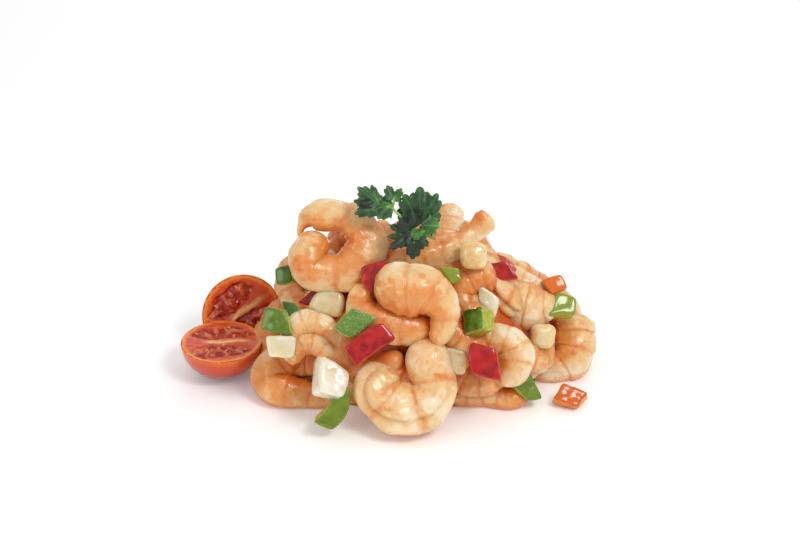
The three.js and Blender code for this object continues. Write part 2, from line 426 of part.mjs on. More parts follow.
/** Corners round a point of a curve, counter-clockwise as seen from its far end. */
function ringAround(line, u, radius, corners) {
  const along = line.getTangent(u);
  const frame = new THREE.Quaternion().setFromUnitVectors(new THREE.Vector3(0, 0, 1), along);
  return Array.from({ length: corners }, (_, i) => {
    const angle = (i * 2 * Math.PI) / corners;
    const corner = new THREE.Vector3(radius * Math.cos(angle), radius * Math.sin(angle), 0);
    return corner.applyQuaternion(frame).add(line.getPoint(u));
  });
}

function coreSolid() {
  const { width, depth, height, bump, back } = CORE;
  const dome = new THREE.SphereGeometry(1, 16, 8).rotateX(Math.PI / 2);
  const points = dome.getAttribute("position");
  for (let i = 0; i < points.count; i++) {
    const [x, y, z] = [points.getX(i), points.getY(i), points.getZ(i)];
    const swell = 1 + (bump / height) * Math.sin(5 * x + 1) * Math.sin(6 * y + 2) * Math.cos(4 * z);
    points.setXYZ(i, (x * swell * width) / 2 - 4, (y * swell * depth) / 2 + back, z * swell * height);
  }
  return toSolid(dome);
}

// ---- Assembly ----
const asMatrix = (m) => Array.from(m.elements);

/** Every piece in order of rank: a piece keeps its shape where a later one meets it. */
function pieces() {
  const listed = [];
  const add = (spec, kind, build, outline) => {
    listed.push({ spec, kind, build, outline, matrix: placement(spec) });
  };
  for (const spec of DICE) add(spec, spec.kind, diceSolid);
  for (const spec of TOMATOES) add(spec, "tomato", tomatoSolid);
  for (const spec of PRAWNS) add(spec, "prawn", prawnSolid, prawnOutline);
  add({ name: "parsley_sprig", tilt: 0, towards: 0, ...PARSLEY }, "parsley", parsleySolid);
  add({ name: "heap_core", at: [0, 0, 0], tilt: 0, towards: 0 }, "core", coreSolid);
  return listed;
}

function boxesMeet(a, b) {
  return [0, 1, 2].every((k) => a.min[k] < b.max[k] && b.min[k] < a.max[k]);
}

/** Cuts each piece back from the floor and from the pieces of higher rank, less a small gap. */
function fitTogether(listed) {
  const floor = slabBelow(0);
  const placed = [];
  for (const { spec, build, outline, matrix } of listed) {
    let solid = build(spec).transform(asMatrix(matrix)).subtract(floor);
    const box = solid.boundingBox();
    const isCore = build === coreSolid;
    for (const other of placed) {
      if (isCore && boxesMeet(box, other.box)) solid = solid.subtract(other.outline);
      if (boxesMeet(box, other.box)) solid = solid.subtract(other.grown);
    }
    const grown = build(spec, GAP).transform(asMatrix(matrix));
    const plain = outline ? outline(spec).transform(asMatrix(matrix)) : grown.hull();
    const plainer = isCore ? CORE_FAIRING : build === parsleySolid ? LEAF_FAIRING : FAIRING;
    placed.push({ solid: largestBody(largestBody(solid).simplify(plainer)), grown, outline: plain, box: plain.boundingBox() });
  }
  return placed.map(({ solid }) => solid);
}

const salad = new THREE.Group();
const listed = pieces();
fitTogether(listed).forEach((solid, i) => {
  const { spec, kind, matrix } = listed[i];
  const own = solid.transform(asMatrix(matrix.clone().invert()));
  const material = new THREE.MeshStandardMaterial({ color: COLOURS[kind], roughness: 0.4, metalness: 0 });
  const mesh = new THREE.Mesh(toGeometry(own), material);
  mesh.name = spec.name;
  mesh.applyMatrix4(matrix);
  salad.add(mesh);
});

// The origin is at the middle of the bounding box, on the surface that the salad lies on.
const bounds = new THREE.Box3().setFromObject(salad, true);
const middle = bounds.getCenter(new THREE.Vector3()).setZ(bounds.min.z);
for (const piece of salad.children) piece.position.sub(middle);

export default salad;
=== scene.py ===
"""Prawn salad as it lies in a heap: curled, peeled prawns with diced pepper and onion,
two cherry tomato halves at its left and a sprig of curly parsley on top."""
import math

import bmesh
import bpy
import numpy as np
from mathutils import Matrix, Vector


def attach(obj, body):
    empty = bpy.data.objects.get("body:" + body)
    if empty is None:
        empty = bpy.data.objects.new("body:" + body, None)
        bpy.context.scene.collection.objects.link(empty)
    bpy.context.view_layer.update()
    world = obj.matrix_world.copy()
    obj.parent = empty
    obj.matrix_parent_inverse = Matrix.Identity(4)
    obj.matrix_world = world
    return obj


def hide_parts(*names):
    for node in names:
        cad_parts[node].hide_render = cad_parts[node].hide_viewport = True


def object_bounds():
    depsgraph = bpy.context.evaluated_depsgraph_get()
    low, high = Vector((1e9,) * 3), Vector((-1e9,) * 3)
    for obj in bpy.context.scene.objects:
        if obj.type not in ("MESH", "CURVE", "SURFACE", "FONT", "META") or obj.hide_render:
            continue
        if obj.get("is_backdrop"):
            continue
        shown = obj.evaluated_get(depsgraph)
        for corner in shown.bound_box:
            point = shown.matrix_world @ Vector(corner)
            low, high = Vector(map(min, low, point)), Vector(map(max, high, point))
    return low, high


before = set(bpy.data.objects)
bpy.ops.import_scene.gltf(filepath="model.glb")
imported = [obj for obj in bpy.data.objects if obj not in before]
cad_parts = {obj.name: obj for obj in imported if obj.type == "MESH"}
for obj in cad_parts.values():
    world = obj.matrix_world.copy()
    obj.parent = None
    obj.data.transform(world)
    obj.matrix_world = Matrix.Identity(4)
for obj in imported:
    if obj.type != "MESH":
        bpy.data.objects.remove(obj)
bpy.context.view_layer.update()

MM = 0.001
MIDDLE = np.array((-14.1644, 11.1433, 0.0))  # middle of the heap's box, in the tables' millimetres
GAP = 0.06  # millimetres between pieces that touch
CURL, GIRTH, TAPER, FLATNESS = 11.5, 8.2, 0.55, 0.88

FLOOR_SOFT = 0.4  # what would pass the floor is pressed into this height
RIDGE = 0.085  # how far a segment swells past its seams, as a share of the girth
VEIN_CUT = 0.14  # depth of the cut along the back
CORE = dict(width=100, depth=58, height=60, back=11)
BOX, SOFT_BOX = 7.5, 3.2  # how square the dice are, and the more rounded ones
CUT_SLIP = 0.05  # how far a corner of a diced piece is off square, as a share of its size
# The painted crevice shade runs from none at the first of these to full at the second.
CROWD_LOW, CROWD_HIGH = 0.25, 0.62  # surface in each cell near a point: open, and closed in

# What the photo shows was read off it, in pixels across and down. seen: for a prawn, a row for each
# knot of its centre line from head to tail, with the millimetres that the knot lies above the prawn's own
# middle plane and half the height of the body in pixels; for a diced piece, the corners of its front face,
# from the lower left one counter-clockwise.
# depth: where its middle lies from front to back, in millimetres. tilt: how far the piece's own up leans
# from vertical; towards: the way it leans, 0 to the viewer, 90 to the right. ends: how far a prawn runs on
# past its first and last knot, as shares of the half height there. seams: shares of the length where one
# segment ends. roll: degrees that the slit back is turned round the body. fan: how flat the tail end is.
# tone: from pale to orange; ridge: depth of the seams; slit: of the cut along the back.
# Prawns that the photo hides, or all but hides, have a place and a curl instead. at: centre of the curl.
# head: where the head end starts round its axis, in degrees. sweep: the turn from head to tail. curl: the
# radius; spiral: how much it shrinks towards the tail. girth: half the height at the head; taper: the share
# of it that is left at the tail.
PRAWNS = [
    dict(name="prawn_front", depth=-26, tilt=52, tone=0.24, ridge=0.5, roll=52,
         seen=[(386, 378, 0, 17), (377, 390, 0, 23), (389, 404, 0, 25), (407, 409, 0, 25),
               (424, 405, 0.5, 24), (434, 392, 1, 21.5), (433, 375, 2, 21.5), (427, 361, 3, 22),
               (419, 355, 3, 18)],
         seams=[0, 0.28, 0.5, 0.72, 1]),
    dict(name="prawn_left", depth=-8, tilt=42, tone=0.6, ridge=0.7,
         seen=[(291, 357, 2, 13), (276, 366, 1, 19), (272, 380, 0, 19.5), (283, 390, 0, 18.5),
               (302, 394, -1, 15.5), (322, 395, -1, 14), (342, 388, -2, 12)]),
    dict(name="prawn_left_low", depth=-15, tilt=55, tone=0.35, ridge=0.4, slit=0,
         seen=[(291, 356, 0, 10), (300, 346, 0, 11.5), (312, 343, 0, 12), (323, 349, 0, 11),
               (332, 360, -1, 10)]),
    dict(name="prawn_left_arch", depth=-11, tilt=55, tone=0.12, ridge=0.4, slit=0,
         seen=[(291, 336, 0, 11), (302, 326, 0, 12.5), (316, 323, 0, 12.5), (329, 331, 0, 11),
               (341, 344, 0, 9)]),
    dict(name="prawn_top_left", depth=6, tilt=60, tone=0.45, ridge=0.8,
         seen=[(318, 241, 0, 13), (309, 256, 0, 20), (312, 269, 0, 21), (328, 272, 0, 19),
               (346, 270, 0, 20.5), (362, 256, 0, 22), (365, 238, 0, 20), (355, 223, 0, 19),
               (338, 216, 0, 16.5), (318, 216, 0, 16), (307, 219, 0, 11), (301, 227, 0, 5),
               (300, 236, 0, 2.6)],
         seams=[0, 0.17, 0.32, 0.46, 0.6, 0.7, 1]),
    dict(name="prawn_centre", depth=-15, tilt=58, tone=0.38, ridge=0.7, slit=1.5,
         seen=[(385, 290, 1, 16), (396, 289, 2, 25.5), (411, 290, 2, 27), (427, 293, 2, 24.5),
               (440, 303, 2, 18.5), (445, 315, 2, 15.5), (442, 328, 1, 13), (437, 341, 0, 9)],
         seams=[0, 0.28, 0.5, 0.75, 1]),
    dict(name="prawn_inner", depth=-12, tilt=58, tone=0.6, ridge=0.5, ends=(0.4, 0.7),
         seen=[(367, 287, 0, 7.5), (361, 300, 0, 15), (366, 315, 0, 19), (384, 323, 0, 20),
               (404, 327, 0, 19), (426, 328, 0, 14)]),
    dict(name="prawn_top_right", depth=8, tilt=58, tone=0.3, ridge=0.4, fan=1,
         seen=[(394, 263, 0, 13), (413, 256, 0, 16.5), (436, 252, 0, 17), (455, 245, 0, 14.5),
               (467, 237, 0, 10.5), (476, 230, 0, 11), (484, 222, 0, 13)]),
    dict(name="prawn_behind_parsley", depth=20, tilt=58, tone=0.16, ridge=0.2, slit=0,
         seen=[(451, 212, 0, 12.5), (448, 223, 0, 15), (444, 236, 0, 15.5), (430, 250, 0, 14),
               (412, 256, 0, 12)]),
    dict(name="prawn_right_bend", depth=9, tilt=55, tone=0, ridge=0.9, slit=0,
         seen=[(493, 300, 0, 15), (504, 302, 0, 22), (518, 303, 0, 24.5), (532, 305, 0, 24),
               (544, 305, 0, 17), (552, 304, 0, 11)],
         seams=[0, 0.33, 0.55, 0.8, 1]),
    dict(name="prawn_right_low", depth=-14, tilt=55, tone=0.1, ridge=0.4, slit=0.3,
         seen=[(486, 334, 0, 12), (498, 338, 0, 16), (511, 345, 0, 18.5), (515, 357, 0, 18.5),
               (512, 370, 0, 15.5), (506, 380, -1, 10)]),
    dict(name="prawn_floor_right", depth=-12, tilt=30, tone=0.75, ridge=0.25, slit=0,
         seen=[(446, 388, 0, 12), (466, 393, 0, 12.5), (487, 394, 0, 13), (506, 397, 0, 12.5),
               (522, 397, 0, 9.5)]),
    dict(name="prawn_right", depth=10, tilt=52, tone=0.2, ridge=1.2, slit=0,
         seen=[(575, 325, 0, 16.5), (574, 336, 0, 20.5), (574, 349, 0, 21.5), (566, 361, 0, 19),
               (550, 367, 0, 16), (535, 368, 0, 12)],
         seams=[0, 0.2, 0.4, 0.62, 1]),
    dict(name="prawn_behind_tomato", at=(-43, 24, 31), tilt=35, towards=-10, head=60, sweep=225, curl=9.5,
         girth=6.8, taper=0.6, tone=0.6),
    dict(name="prawn_middle_right", depth=-10, tilt=52, tone=0.7, ridge=0.5,
         seen=[(478, 346, 0, 14), (463, 339, 0, 18), (452, 325, 0, 18), (458, 310, 0, 16),
               (474, 305, 0, 14)]),
    dict(name="prawn_back_left", at=(-47, 32, 17), tilt=28, towards=200, head=40, sweep=255, curl=11.5,
         girth=7.6, taper=0.6, tone=0.45),
    dict(name="prawn_back_centre", at=(-3, 46, 13), tilt=35, towards=185, head=130, sweep=270, curl=12,
         girth=8.6, taper=0.6, tone=0.3),
    dict(name="prawn_back_right", at=(41, 34, 8.4), tilt=10, towards=180, head=200, sweep=-250, curl=12,
         girth=8.2, taper=0.6, tone=0.55),
    dict(name="prawn_back_middle_left", at=(-28, 32, 31), tilt=52, towards=170, head=200, sweep=-240,
         curl=11.5, girth=8.4, taper=0.6, tone=0.25),
    dict(name="prawn_back_middle_right", at=(19, 31, 28), tilt=50, towards=200, head=60, sweep=250,
         curl=11.5, girth=8.4, taper=0.6, tone=0.5),
    dict(name="prawn_back_low_left", at=(-27, 42, 7.4), tilt=6, towards=180, head=200, sweep=-265,
         curl=11.5, girth=8, taper=0.6, tone=0.5),
    dict(name="prawn_back_low_right", at=(21, 44, 7.4), tilt=8, towards=180, head=330, sweep=255,
         curl=11.5, girth=8, taper=0.6, tone=0.3),
    dict(name="prawn_back_middle", at=(-3, 38, 34), tilt=48, towards=185, head=20, sweep=-250, curl=11.5,
         girth=8.2, taper=0.6, tone=0.6),
    dict(name="prawn_back_upper", at=(4, 30, 42), tilt=40, towards=200, head=120, sweep=250, curl=11,
         girth=7.8, taper=0.6, tone=0.35),
    dict(name="prawn_right_side", at=(45, 29, 24), tilt=42, towards=120, head=190, sweep=240, curl=11,
         girth=8, taper=0.6, tone=0.4),
    dict(name="prawn_middle_upper", depth=-3, tilt=55, tone=0.8, ridge=0.6,
         seen=[(486, 276, 0, 15), (471, 281, 0, 17), (461, 293, 0, 17), (466, 308, 0, 16),
               (484, 314, 0, 13)]),
    dict(name="prawn_behind_right", depth=18, tilt=55, tone=0.2, ridge=0.4, slit=0,
         seen=[(487, 266, 0, 7), (503, 272, 0, 10), (520, 280, 0, 11.5), (539, 291, 0, 11),
               (549, 301, 0, 9)]),
]

# Prawns deeper in the heap, which show only in its gaps and have no solid of their own.
DEEPER = [
    dict(name="deep_front_gap", at=(-4.5, -15.7, 23.3), tilt=52, towards=0, head=170, sweep=200, curl=9.5,
         girth=7.6, taper=0.8, tone=1),
    dict(name="deep_left_gap", at=(-44.7, 4.8, 19.8), tilt=52, towards=0, head=180, sweep=180, curl=9.5,
         girth=7, taper=0.8, tone=1),
    dict(name="deep_inner_gap", at=(-15.4, -5.2, 31.7), tilt=52, towards=0, head=180, sweep=180, curl=9.5,
         girth=7, taper=0.8, tone=1),
    dict(name="deep_right_low", at=(19.5, -7.5, 19), tilt=50, towards=0, head=180, sweep=180, curl=9.5,
         girth=7, taper=0.8, tone=0.6),
    dict(name="deep_top", at=(-6, 10, 50), tilt=35, towards=10, head=20, sweep=250, curl=9, girth=7,
         taper=0.7, tone=0.9),
    dict(name="deep_top_back", at=(-8, 22, 52), tilt=45, towards=175, head=160, sweep=250, curl=9.5,
         girth=7.4, taper=0.7, tone=0.9),
    dict(name="deep_left", at=(-30, 12, 38), tilt=40, towards=-30, head=200, sweep=240, curl=9.5,
         girth=7.4, taper=0.7, tone=0.9),
    dict(name="deep_right", at=(34, 14, 22), tilt=55, towards=60, head=90, sweep=250, curl=10, girth=8,
         taper=0.7, tone=0.9),
    dict(name="deep_right_top", at=(27, 18, 33), tilt=50, towards=110, head=150, sweep=250, curl=10,
         girth=7.6, taper=0.7, tone=0.9),
    dict(name="deep_front", at=(-20, -14, 26), tilt=55, towards=-10, head=100, sweep=260, curl=9.5,
         girth=7.6, taper=0.7, tone=0.9),
    dict(name="deep_middle", at=(0, -10, 24), tilt=50, towards=10, head=300, sweep=260, curl=9.5,
         girth=7.6, taper=0.7, tone=0.9),
    dict(name="deep_left_low", at=(-50, 12, 16), tilt=40, towards=-40, head=100, sweep=250, curl=9.5,
         girth=7.6, taper=0.7, tone=0.9),
    dict(name="deep_back_left", at=(-22, 26, 50), tilt=50, towards=190, head=220, sweep=250, curl=9,
         girth=7, taper=0.7, tone=0.9),
    dict(name="deep_back_right", at=(9, 24, 38), tilt=48, towards=165, head=40, sweep=250, curl=9,
         girth=7, taper=0.7, tone=0.9),
    dict(name="deep_right_upper", at=(15, 14, 49), tilt=45, towards=80, head=200, sweep=240, curl=10,
         girth=7.6, taper=0.7, tone=0.5),
    dict(name="deep_right_side", at=(30, 15, 37), tilt=48, towards=85, head=60, sweep=240, curl=10,
         girth=7.8, taper=0.7, tone=0.5),
    dict(name="deep_right_front", at=(37, 5, 21), tilt=55, towards=75, head=170, sweep=240, curl=10,
         girth=7.8, taper=0.7, tone=0.5),
    dict(name="deep_right_back", at=(19, 24, 36), tilt=50, towards=120, head=300, sweep=240, curl=10,
         girth=7.6, taper=0.7, tone=0.5),
    dict(name="deep_back_top", at=(-14, 26, 44), tilt=40, towards=180, head=150, sweep=245, curl=10.5,
         girth=7.2, taper=0.6, tone=0.6),
]

# thick: millimetres from the front face to the back. bow: millimetres that the middle of the piece bulges to
# its upper or left side. round: it is soft-edged. yellow: how far its colour goes to that of the flesh.
# inside_out: its inner side faces out.
# Pieces without seen corners have a size of length, width and thickness, and a place. bend: degrees that the
# length curves over. pinch: how much narrower the far end is. turn: round the piece's own outward axis.
DICE = [
    dict(name="green_pepper_left_top", kind="greenPepper", depth=10, tilt=60, thick=5.5, towards=-16,
         seen=[(277, 285), (292, 282), (289, 264), (274, 268)]),
    dict(name="green_pepper_by_tomato", kind="greenPepper", depth=-12, tilt=62, thick=5, towards=-12,
         yellow=0.25,
         seen=[(259, 330), (292, 336), (285, 312), (265, 307)]),
    dict(name="green_pepper_dark", kind="greenPepper", depth=-4, tilt=50, thick=5,
         seen=[(286, 321), (304, 313), (294, 303), (282, 302)]),
    dict(name="green_pepper_middle", kind="greenPepper", depth=-20, tilt=58, thick=4.5, inside_out=True,
         seen=[(335, 328), (352, 338), (376, 318), (352, 309)]),
    dict(name="green_pepper_front", kind="greenPepper", depth=-31, tilt=66, thick=6.5, bow=2.4,
         towards=10, yellow=0.45,
         seen=[(314, 421), (332, 431), (349, 390), (334, 387)]),
    dict(name="green_pepper_cube", kind="greenPepper", at=(19.2, -16, 38.5), size=(10, 9.5, 8), bend=5,
         pinch=0.1, tilt=62, towards=-58, turn=38),
    dict(name="green_pepper_right", kind="greenPepper", depth=9, tilt=45, thick=7.5, towards=14, bow=0.8,
         yellow=0.8,
         seen=[(549, 315), (574, 316), (577, 299), (556, 293)]),
    dict(name="green_pepper_floor", kind="greenPepper", depth=-13, tilt=55, thick=7, towards=18,
         yellow=0.35,
         seen=[(514, 383), (529, 401), (543, 397), (527, 368)]),
    dict(name="green_pepper_pale", kind="greenPepper", depth=-7, tilt=60, thick=5, yellow=0.9,
         seen=[(438, 267), (452, 284), (461, 279), (459, 268)]),
    dict(name="red_pepper_centre", kind="redPepper", depth=-25, tilt=58, thick=7, bow=-0.8,
         seen=[(344, 348), (359, 367), (396, 339), (380, 324)]),
    dict(name="red_pepper_top", kind="redPepper", depth=-7, tilt=58, thick=5,
         seen=[(362, 283), (373, 293), (390, 258), (362, 267)]),
    dict(name="red_pepper_right", kind="redPepper", depth=-25, tilt=58, thick=7, towards=-8,
         seen=[(469, 374), (500, 381), (495, 350), (470, 342)]),
    dict(name="red_pepper_upper", kind="redPepper", depth=6, tilt=58, thick=5,
         seen=[(490, 280), (518, 279), (507, 261), (486, 264)]),
    dict(name="red_pepper_strip", kind="redPepper", depth=14, tilt=48, thick=2.8, bow=1.2, inside_out=True,
         seen=[(487, 258), (510, 272), (517, 269), (490, 251)]),
    dict(name="orange_pepper_upper", kind="orangePepper", depth=14, tilt=50, thick=6, yellow=0.8,
         seen=[(541, 279), (552, 294), (568, 286), (560, 275)]),
    dict(name="orange_pepper_floor", kind="orangePepper", depth=-13, tilt=38, thick=6, yellow=0.5,
         seen=[(552, 399), (577, 407), (589, 393), (563, 382)]),
    dict(name="onion_left", kind="onion", depth=-18, tilt=60, thick=5.5, yellow=0.15,
         seen=[(269, 357), (293, 359), (296, 337), (264, 335)]),
    dict(name="onion_front", kind="onion", depth=-28, tilt=50, thick=9, towards=30, yellow=0.02,
         seen=[(320, 390), (344, 396), (349, 371), (322, 354)]),
    dict(name="onion_yellow", kind="onion", depth=-5, tilt=58, thick=7, round=0.5, yellow=0.5, bow=0.8,
         seen=[(308, 311), (341, 319), (346, 294), (319, 287)]),
    dict(name="onion_sliver", kind="onion", depth=-6, tilt=58, thick=3.5, yellow=0.25,
         seen=[(478, 300), (494, 317), (500, 299), (480, 284)]),
    dict(name="onion_top", kind="onion", depth=-2, tilt=58, thick=8, round=0.6, yellow=0.55,
         seen=[(462, 269), (488, 270), (487, 242), (461, 243)]),
    dict(name="onion_middle", kind="onion", depth=-20, tilt=58, thick=5.5, yellow=0.5,
         seen=[(447, 370), (465, 375), (468, 351), (440, 347)]),
    dict(name="red_pepper_back_low", kind="redPepper", at=(-27, 44, 27), size=(14, 10, 6), bend=30,
         pinch=0.1, tilt=60, towards=170, turn=25),
    dict(name="green_pepper_back", kind="greenPepper", at=(9, 47, 30), size=(12, 10, 5), bend=20,
         pinch=0.2, tilt=55, towards=190, turn=-20),
    dict(name="onion_back", kind="onion", at=(-8, 44, 39), size=(13, 12, 5), bend=20, pinch=0.1, tilt=58,
         towards=185, turn=40, yellow=0.3),
    dict(name="red_pepper_back_right", kind="redPepper", at=(32, 36, 30.5), size=(12, 10, 6), bend=15,
         pinch=0.3, tilt=50, towards=160, turn=60),
    dict(name="green_pepper_back_left", kind="greenPepper", at=(-48, 34, 26), size=(12, 9, 5), bend=40,
         pinch=0.1, tilt=50, towards=200, turn=10),
    dict(name="onion_right", kind="onion", depth=-2, tilt=58, thick=8, round=0.7, yellow=0.5,
         seen=[(530, 345), (554, 348), (557, 326), (533, 323)]),
    dict(name="red_pepper_behind", kind="redPepper", depth=4, tilt=55, thick=4,
         seen=[(296, 303), (330, 308), (342, 290), (318, 287)]),
]

TOMATOES = [
    dict(name="tomato_front", at=(-77.4, 8.5, 14.7), tilt=2, towards=0, turn=4),
    dict(name="tomato_back", at=(-71, 26, 16.8), tilt=68, towards=5, turn=38),
]

# ---- Small tools ----
def rotation(tilt=0, towards=0, turn=0):
    """A piece's own +Z leans by tilt towards a compass direction, after a turn about itself; degrees."""
    lean = Matrix.Rotation(math.radians(towards), 3, "Z") @ Matrix.Rotation(math.radians(tilt), 3, "X")
    return np.array(lean @ Matrix.Rotation(math.radians(turn), 3, "Z"))


def placed(points, spec):
    """Points in a piece's own millimetres, moved to where it lies in the heap."""
    turned = points @ rotation(spec.get("tilt", 0), spec.get("towards", 0), spec.get("turn", 0)).T
    return turned + np.array(spec["at"], float) - MIDDLE


# ---- Reading the photo ----
PHOTO_LENS, PHOTO_SENSOR, PHOTO_WIDTH = 85, 36, 800  # millimetres, millimetres, pixels
PHOTO_ELEVATION, PHOTO_DISTANCE = 30, 718.0  # degrees above the table, and millimetres away
PHOTO_MIDDLE = (400, 273)
AIMED_AT = np.array((-9.5007, 21.4815, 37.2))
FOCUS = PHOTO_WIDTH * PHOTO_LENS / PHOTO_SENSOR  # pixels
LIFT = math.radians(PHOTO_ELEVATION)
TO_VIEWER = np.array((0, -math.cos(LIFT), math.sin(LIFT)))
EYE = AIMED_AT + TO_VIEWER * PHOTO_DISTANCE
FORWARD = (AIMED_AT - EYE) / PHOTO_DISTANCE
RIGHTWARD = np.array((1.0, 0, 0))
UPWARD = np.cross(RIGHTWARD, FORWARD)
PIXEL = 0.38  # millimetres that a pixel shows in the middle of the heap
FULLER, WIDER = 1.06, 1.05  # what the half height of prawns and the corners of diced pieces are drawn out by
RUN_ON = (0.7, 0.7)  # how far a prawn runs on past its end knots


def seen_on(pixel, point, normal):
    """Where the line of sight through a pixel meets the plane through a point."""
    across, down = pixel
    sight = FORWARD + RIGHTWARD * ((across - PHOTO_MIDDLE[0]) / FOCUS)
    sight = sight + UPWARD * ((PHOTO_MIDDLE[1] - down) / FOCUS)
    return EYE + sight * (((point - EYE) @ normal) / (sight @ normal))


def seen_at_depth(pixel, depth):
    return np.round(seen_on(pixel, np.array((0, depth, 0.0)), np.array((0, 1.0, 0))), 1)


def in_own_frame(pixel, at, axes, height):
    """A pixel's place in a piece's own millimetres, at a height over its middle plane."""
    normal = axes[:, 2]
    return (seen_on(pixel, at + normal * height, normal) - at) @ axes


def read_prawn(spec):
    """Works out where a prawn lies, and the knots of its line to a tenth of a millimetre."""
    knots = np.array(spec["seen"], float)
    at = seen_at_depth(knots[:, :2].mean(axis=0), spec["depth"])
    for end, beside, share in zip((0, -1), (1, -2), spec.get("ends", RUN_ON)):
        step = knots[end, :2] - knots[beside, :2]
        knots[end, :2] += step / np.linalg.norm(step) * knots[end, 3] * share
    axes = rotation(spec["tilt"], spec.get("towards", 0))
    line = []
    for across, down, height, half in knots:
        own = in_own_frame((across, down), at, axes, height)
        scale = ((at + axes @ own - EYE) @ FORWARD) / FOCUS
        line.append((round(own[0], 1), round(own[1], 1), height, round(half * scale * FULLER, 1)))
    return dict(spec, at=at, line=line)


def read_diced(spec):
    """Works out where a diced piece lies, and the corners of its front face to a tenth of a millimetre."""
    seen = np.array(spec["seen"], float)
    middle = seen.mean(axis=0)
    at = seen_at_depth(middle, spec["depth"])
    axes = rotation(spec["tilt"], spec.get("towards", 0))
    corners = []
    for pixel in middle + (seen - middle) * WIDER:
        own = in_own_frame(pixel, at, axes, spec["thick"] / 2)
        corners.append((round(own[0], 1), round(own[1], 1)))
    return dict(spec, at=at, corners=corners)


def worked_out(spec, read):
    return read(spec) if "seen" in spec else spec


def on_sprig(across, down, in_front):
    """A place on the sprig of parsley, from its middle."""
    spot = seen_on((across, down), SPRIG_AT + TO_VIEWER * in_front, TO_VIEWER)
    return tuple(round(float(part), 1) for part in spot - SPRIG_AT)


# ---- Shapes and noise ----
def smooth(low, high, value):
    """0 below low, 1 above high and an even slope between."""
    share = np.clip((value - low) / (high - low), 0, 1)
    return share * share * (3 - 2 * share)


def hump(value, middle, width):
    return np.exp(-(((value - middle) / width) ** 2))


def lattice(cells, seed):
    """A repeatable number from -1 to 1 for each cell of a grid."""
    x, y, z = (cells[..., k].astype(np.uint32) for k in range(3))
    mixed = x * np.uint32(374761393) + y * np.uint32(668265263) + z * np.uint32(2246822519)
    mixed = mixed + np.uint32((seed * 3266489917) % 2**32)
    mixed = (mixed ^ (mixed >> np.uint32(13))) * np.uint32(1274126177)
    return (mixed ^ (mixed >> np.uint32(16))).astype(float) / 2**31 - 1


def lumps(points, size, seed):
    """Smooth noise from -1 to 1 with lumps of about a size in millimetres."""
    scaled = points / size + 500
    cells = np.floor(scaled).astype(np.int64)
    part = scaled - cells
    part = part * part * (3 - 2 * part)
    total = 0
    for corner in np.ndindex(2, 2, 2):
        weight = np.prod(np.where(np.array(corner) == 1, part, 1 - part), axis=-1)
        total = total + weight * lattice(cells + np.array(corner), seed)
    return total


def seed_of(name):
    """A fixed number for a piece, so that no two are alike."""
    return sum((i + 1) * ord(letter) for i, letter in enumerate(name)) % 9973


def new_object(name, points, faces, values=None):
    """A mesh object from points in millimetres, with a float attribute for each set of values."""
    mesh = bpy.data.meshes.new(name)
    mesh.from_pydata((np.asarray(points) * MM).tolist(), [], faces)
    mesh.update()
    for key, value in (values or {}).items():
        write_values(mesh, key, value)
    piece = bpy.data.objects.new(name, mesh)
    bpy.context.scene.collection.objects.link(piece)
    return piece


def write_values(mesh, key, value):
    layer = mesh.attributes.get(key) or mesh.attributes.new(key, "FLOAT", "POINT")
    layer.data.foreach_set("value", np.broadcast_to(value, len(mesh.vertices)).astype(np.float32))


def read_vectors(collection, key, count=3):
    values = np.zeros(len(collection) * count, np.float32)
    collection.foreach_get(key, values)
    return values.reshape(-1, count).astype(float)


def ring_faces(rows, columns, poles=True):
    """Quads of rings of points, one after another, closed by a fan at each end where there are poles."""
    row, column = np.meshgrid(np.arange(rows - 1), np.arange(columns), indexing="ij")
    after = (column + 1) % columns
    quads = np.stack([row * columns + column, row * columns + after,
                      (row + 1) * columns + after, (row + 1) * columns + column], axis=-1)
    faces = quads.reshape(-1, 4).tolist()
    if poles:
        first, last = rows * columns, rows * columns + 1
        end = (rows - 1) * columns
        for j in range(columns):
            faces.append([first, (j + 1) % columns, j])
            faces.append([last, end + j, end + (j + 1) % columns])
    return faces


def evaluated_mesh(piece):
    bpy.context.view_layer.update()
    depsgraph = bpy.context.evaluated_depsgraph_get()
    return bpy.data.meshes.new_from_object(piece.evaluated_get(depsgraph), depsgraph=depsgraph)


def swap_mesh(piece, mesh):
    """Gives the piece its finished plain mesh and drops its modifiers."""
    old = piece.data
    piece.modifiers.clear()
    piece.data = mesh
    mesh.name = piece.name
    bpy.data.meshes.remove(old)


def keep_largest(mesh):
    """Drops the loose scraps that a cut can leave."""
    edges = np.zeros(len(mesh.edges) * 2, np.int32)
    mesh.edges.foreach_get("vertices", edges)
    edges = edges.reshape(-1, 2)
    label = np.arange(len(mesh.vertices))
    while True:
        lowest = label.copy()
        np.minimum.at(lowest, edges[:, 0], label[edges[:, 1]])
        np.minimum.at(lowest, edges[:, 1], label[edges[:, 0]])
        lowest = lowest[lowest]
        if (lowest == label).all():
            break
        label = lowest
    roots, sizes = np.unique(label, return_counts=True)
    if len(roots) > 1:
        scraps = np.flatnonzero(label != roots[sizes.argmax()])
        body = bmesh.new()
        body.from_mesh(mesh)
        body.verts.ensure_lookup_table()
        bmesh.ops.delete(body, geom=[body.verts[i] for i in scraps], context="VERTS")
        body.to_mesh(mesh)
        body.free()


def rested(points):
    """Nothing passes the floor: what would is pressed flat on it."""
    out = points.copy()
    low = out[:, 2] < FLOOR_SOFT
    out[low, 2] = FLOOR_SOFT * np.exp(out[low, 2] / FLOOR_SOFT - 1)
    return out


def cut_back(piece, cutters):
    """Cuts the piece back from its grown neighbours, leaving a fine gap."""
    for cutter in cutters:
        modifier = piece.modifiers.new("cut", "BOOLEAN")
        modifier.operation = "DIFFERENCE"
        modifier.solver = "MANIFOLD"
        modifier.object = cutter
    mesh = evaluated_mesh(piece)
    swap_mesh(piece, mesh)
    keep_largest(mesh)


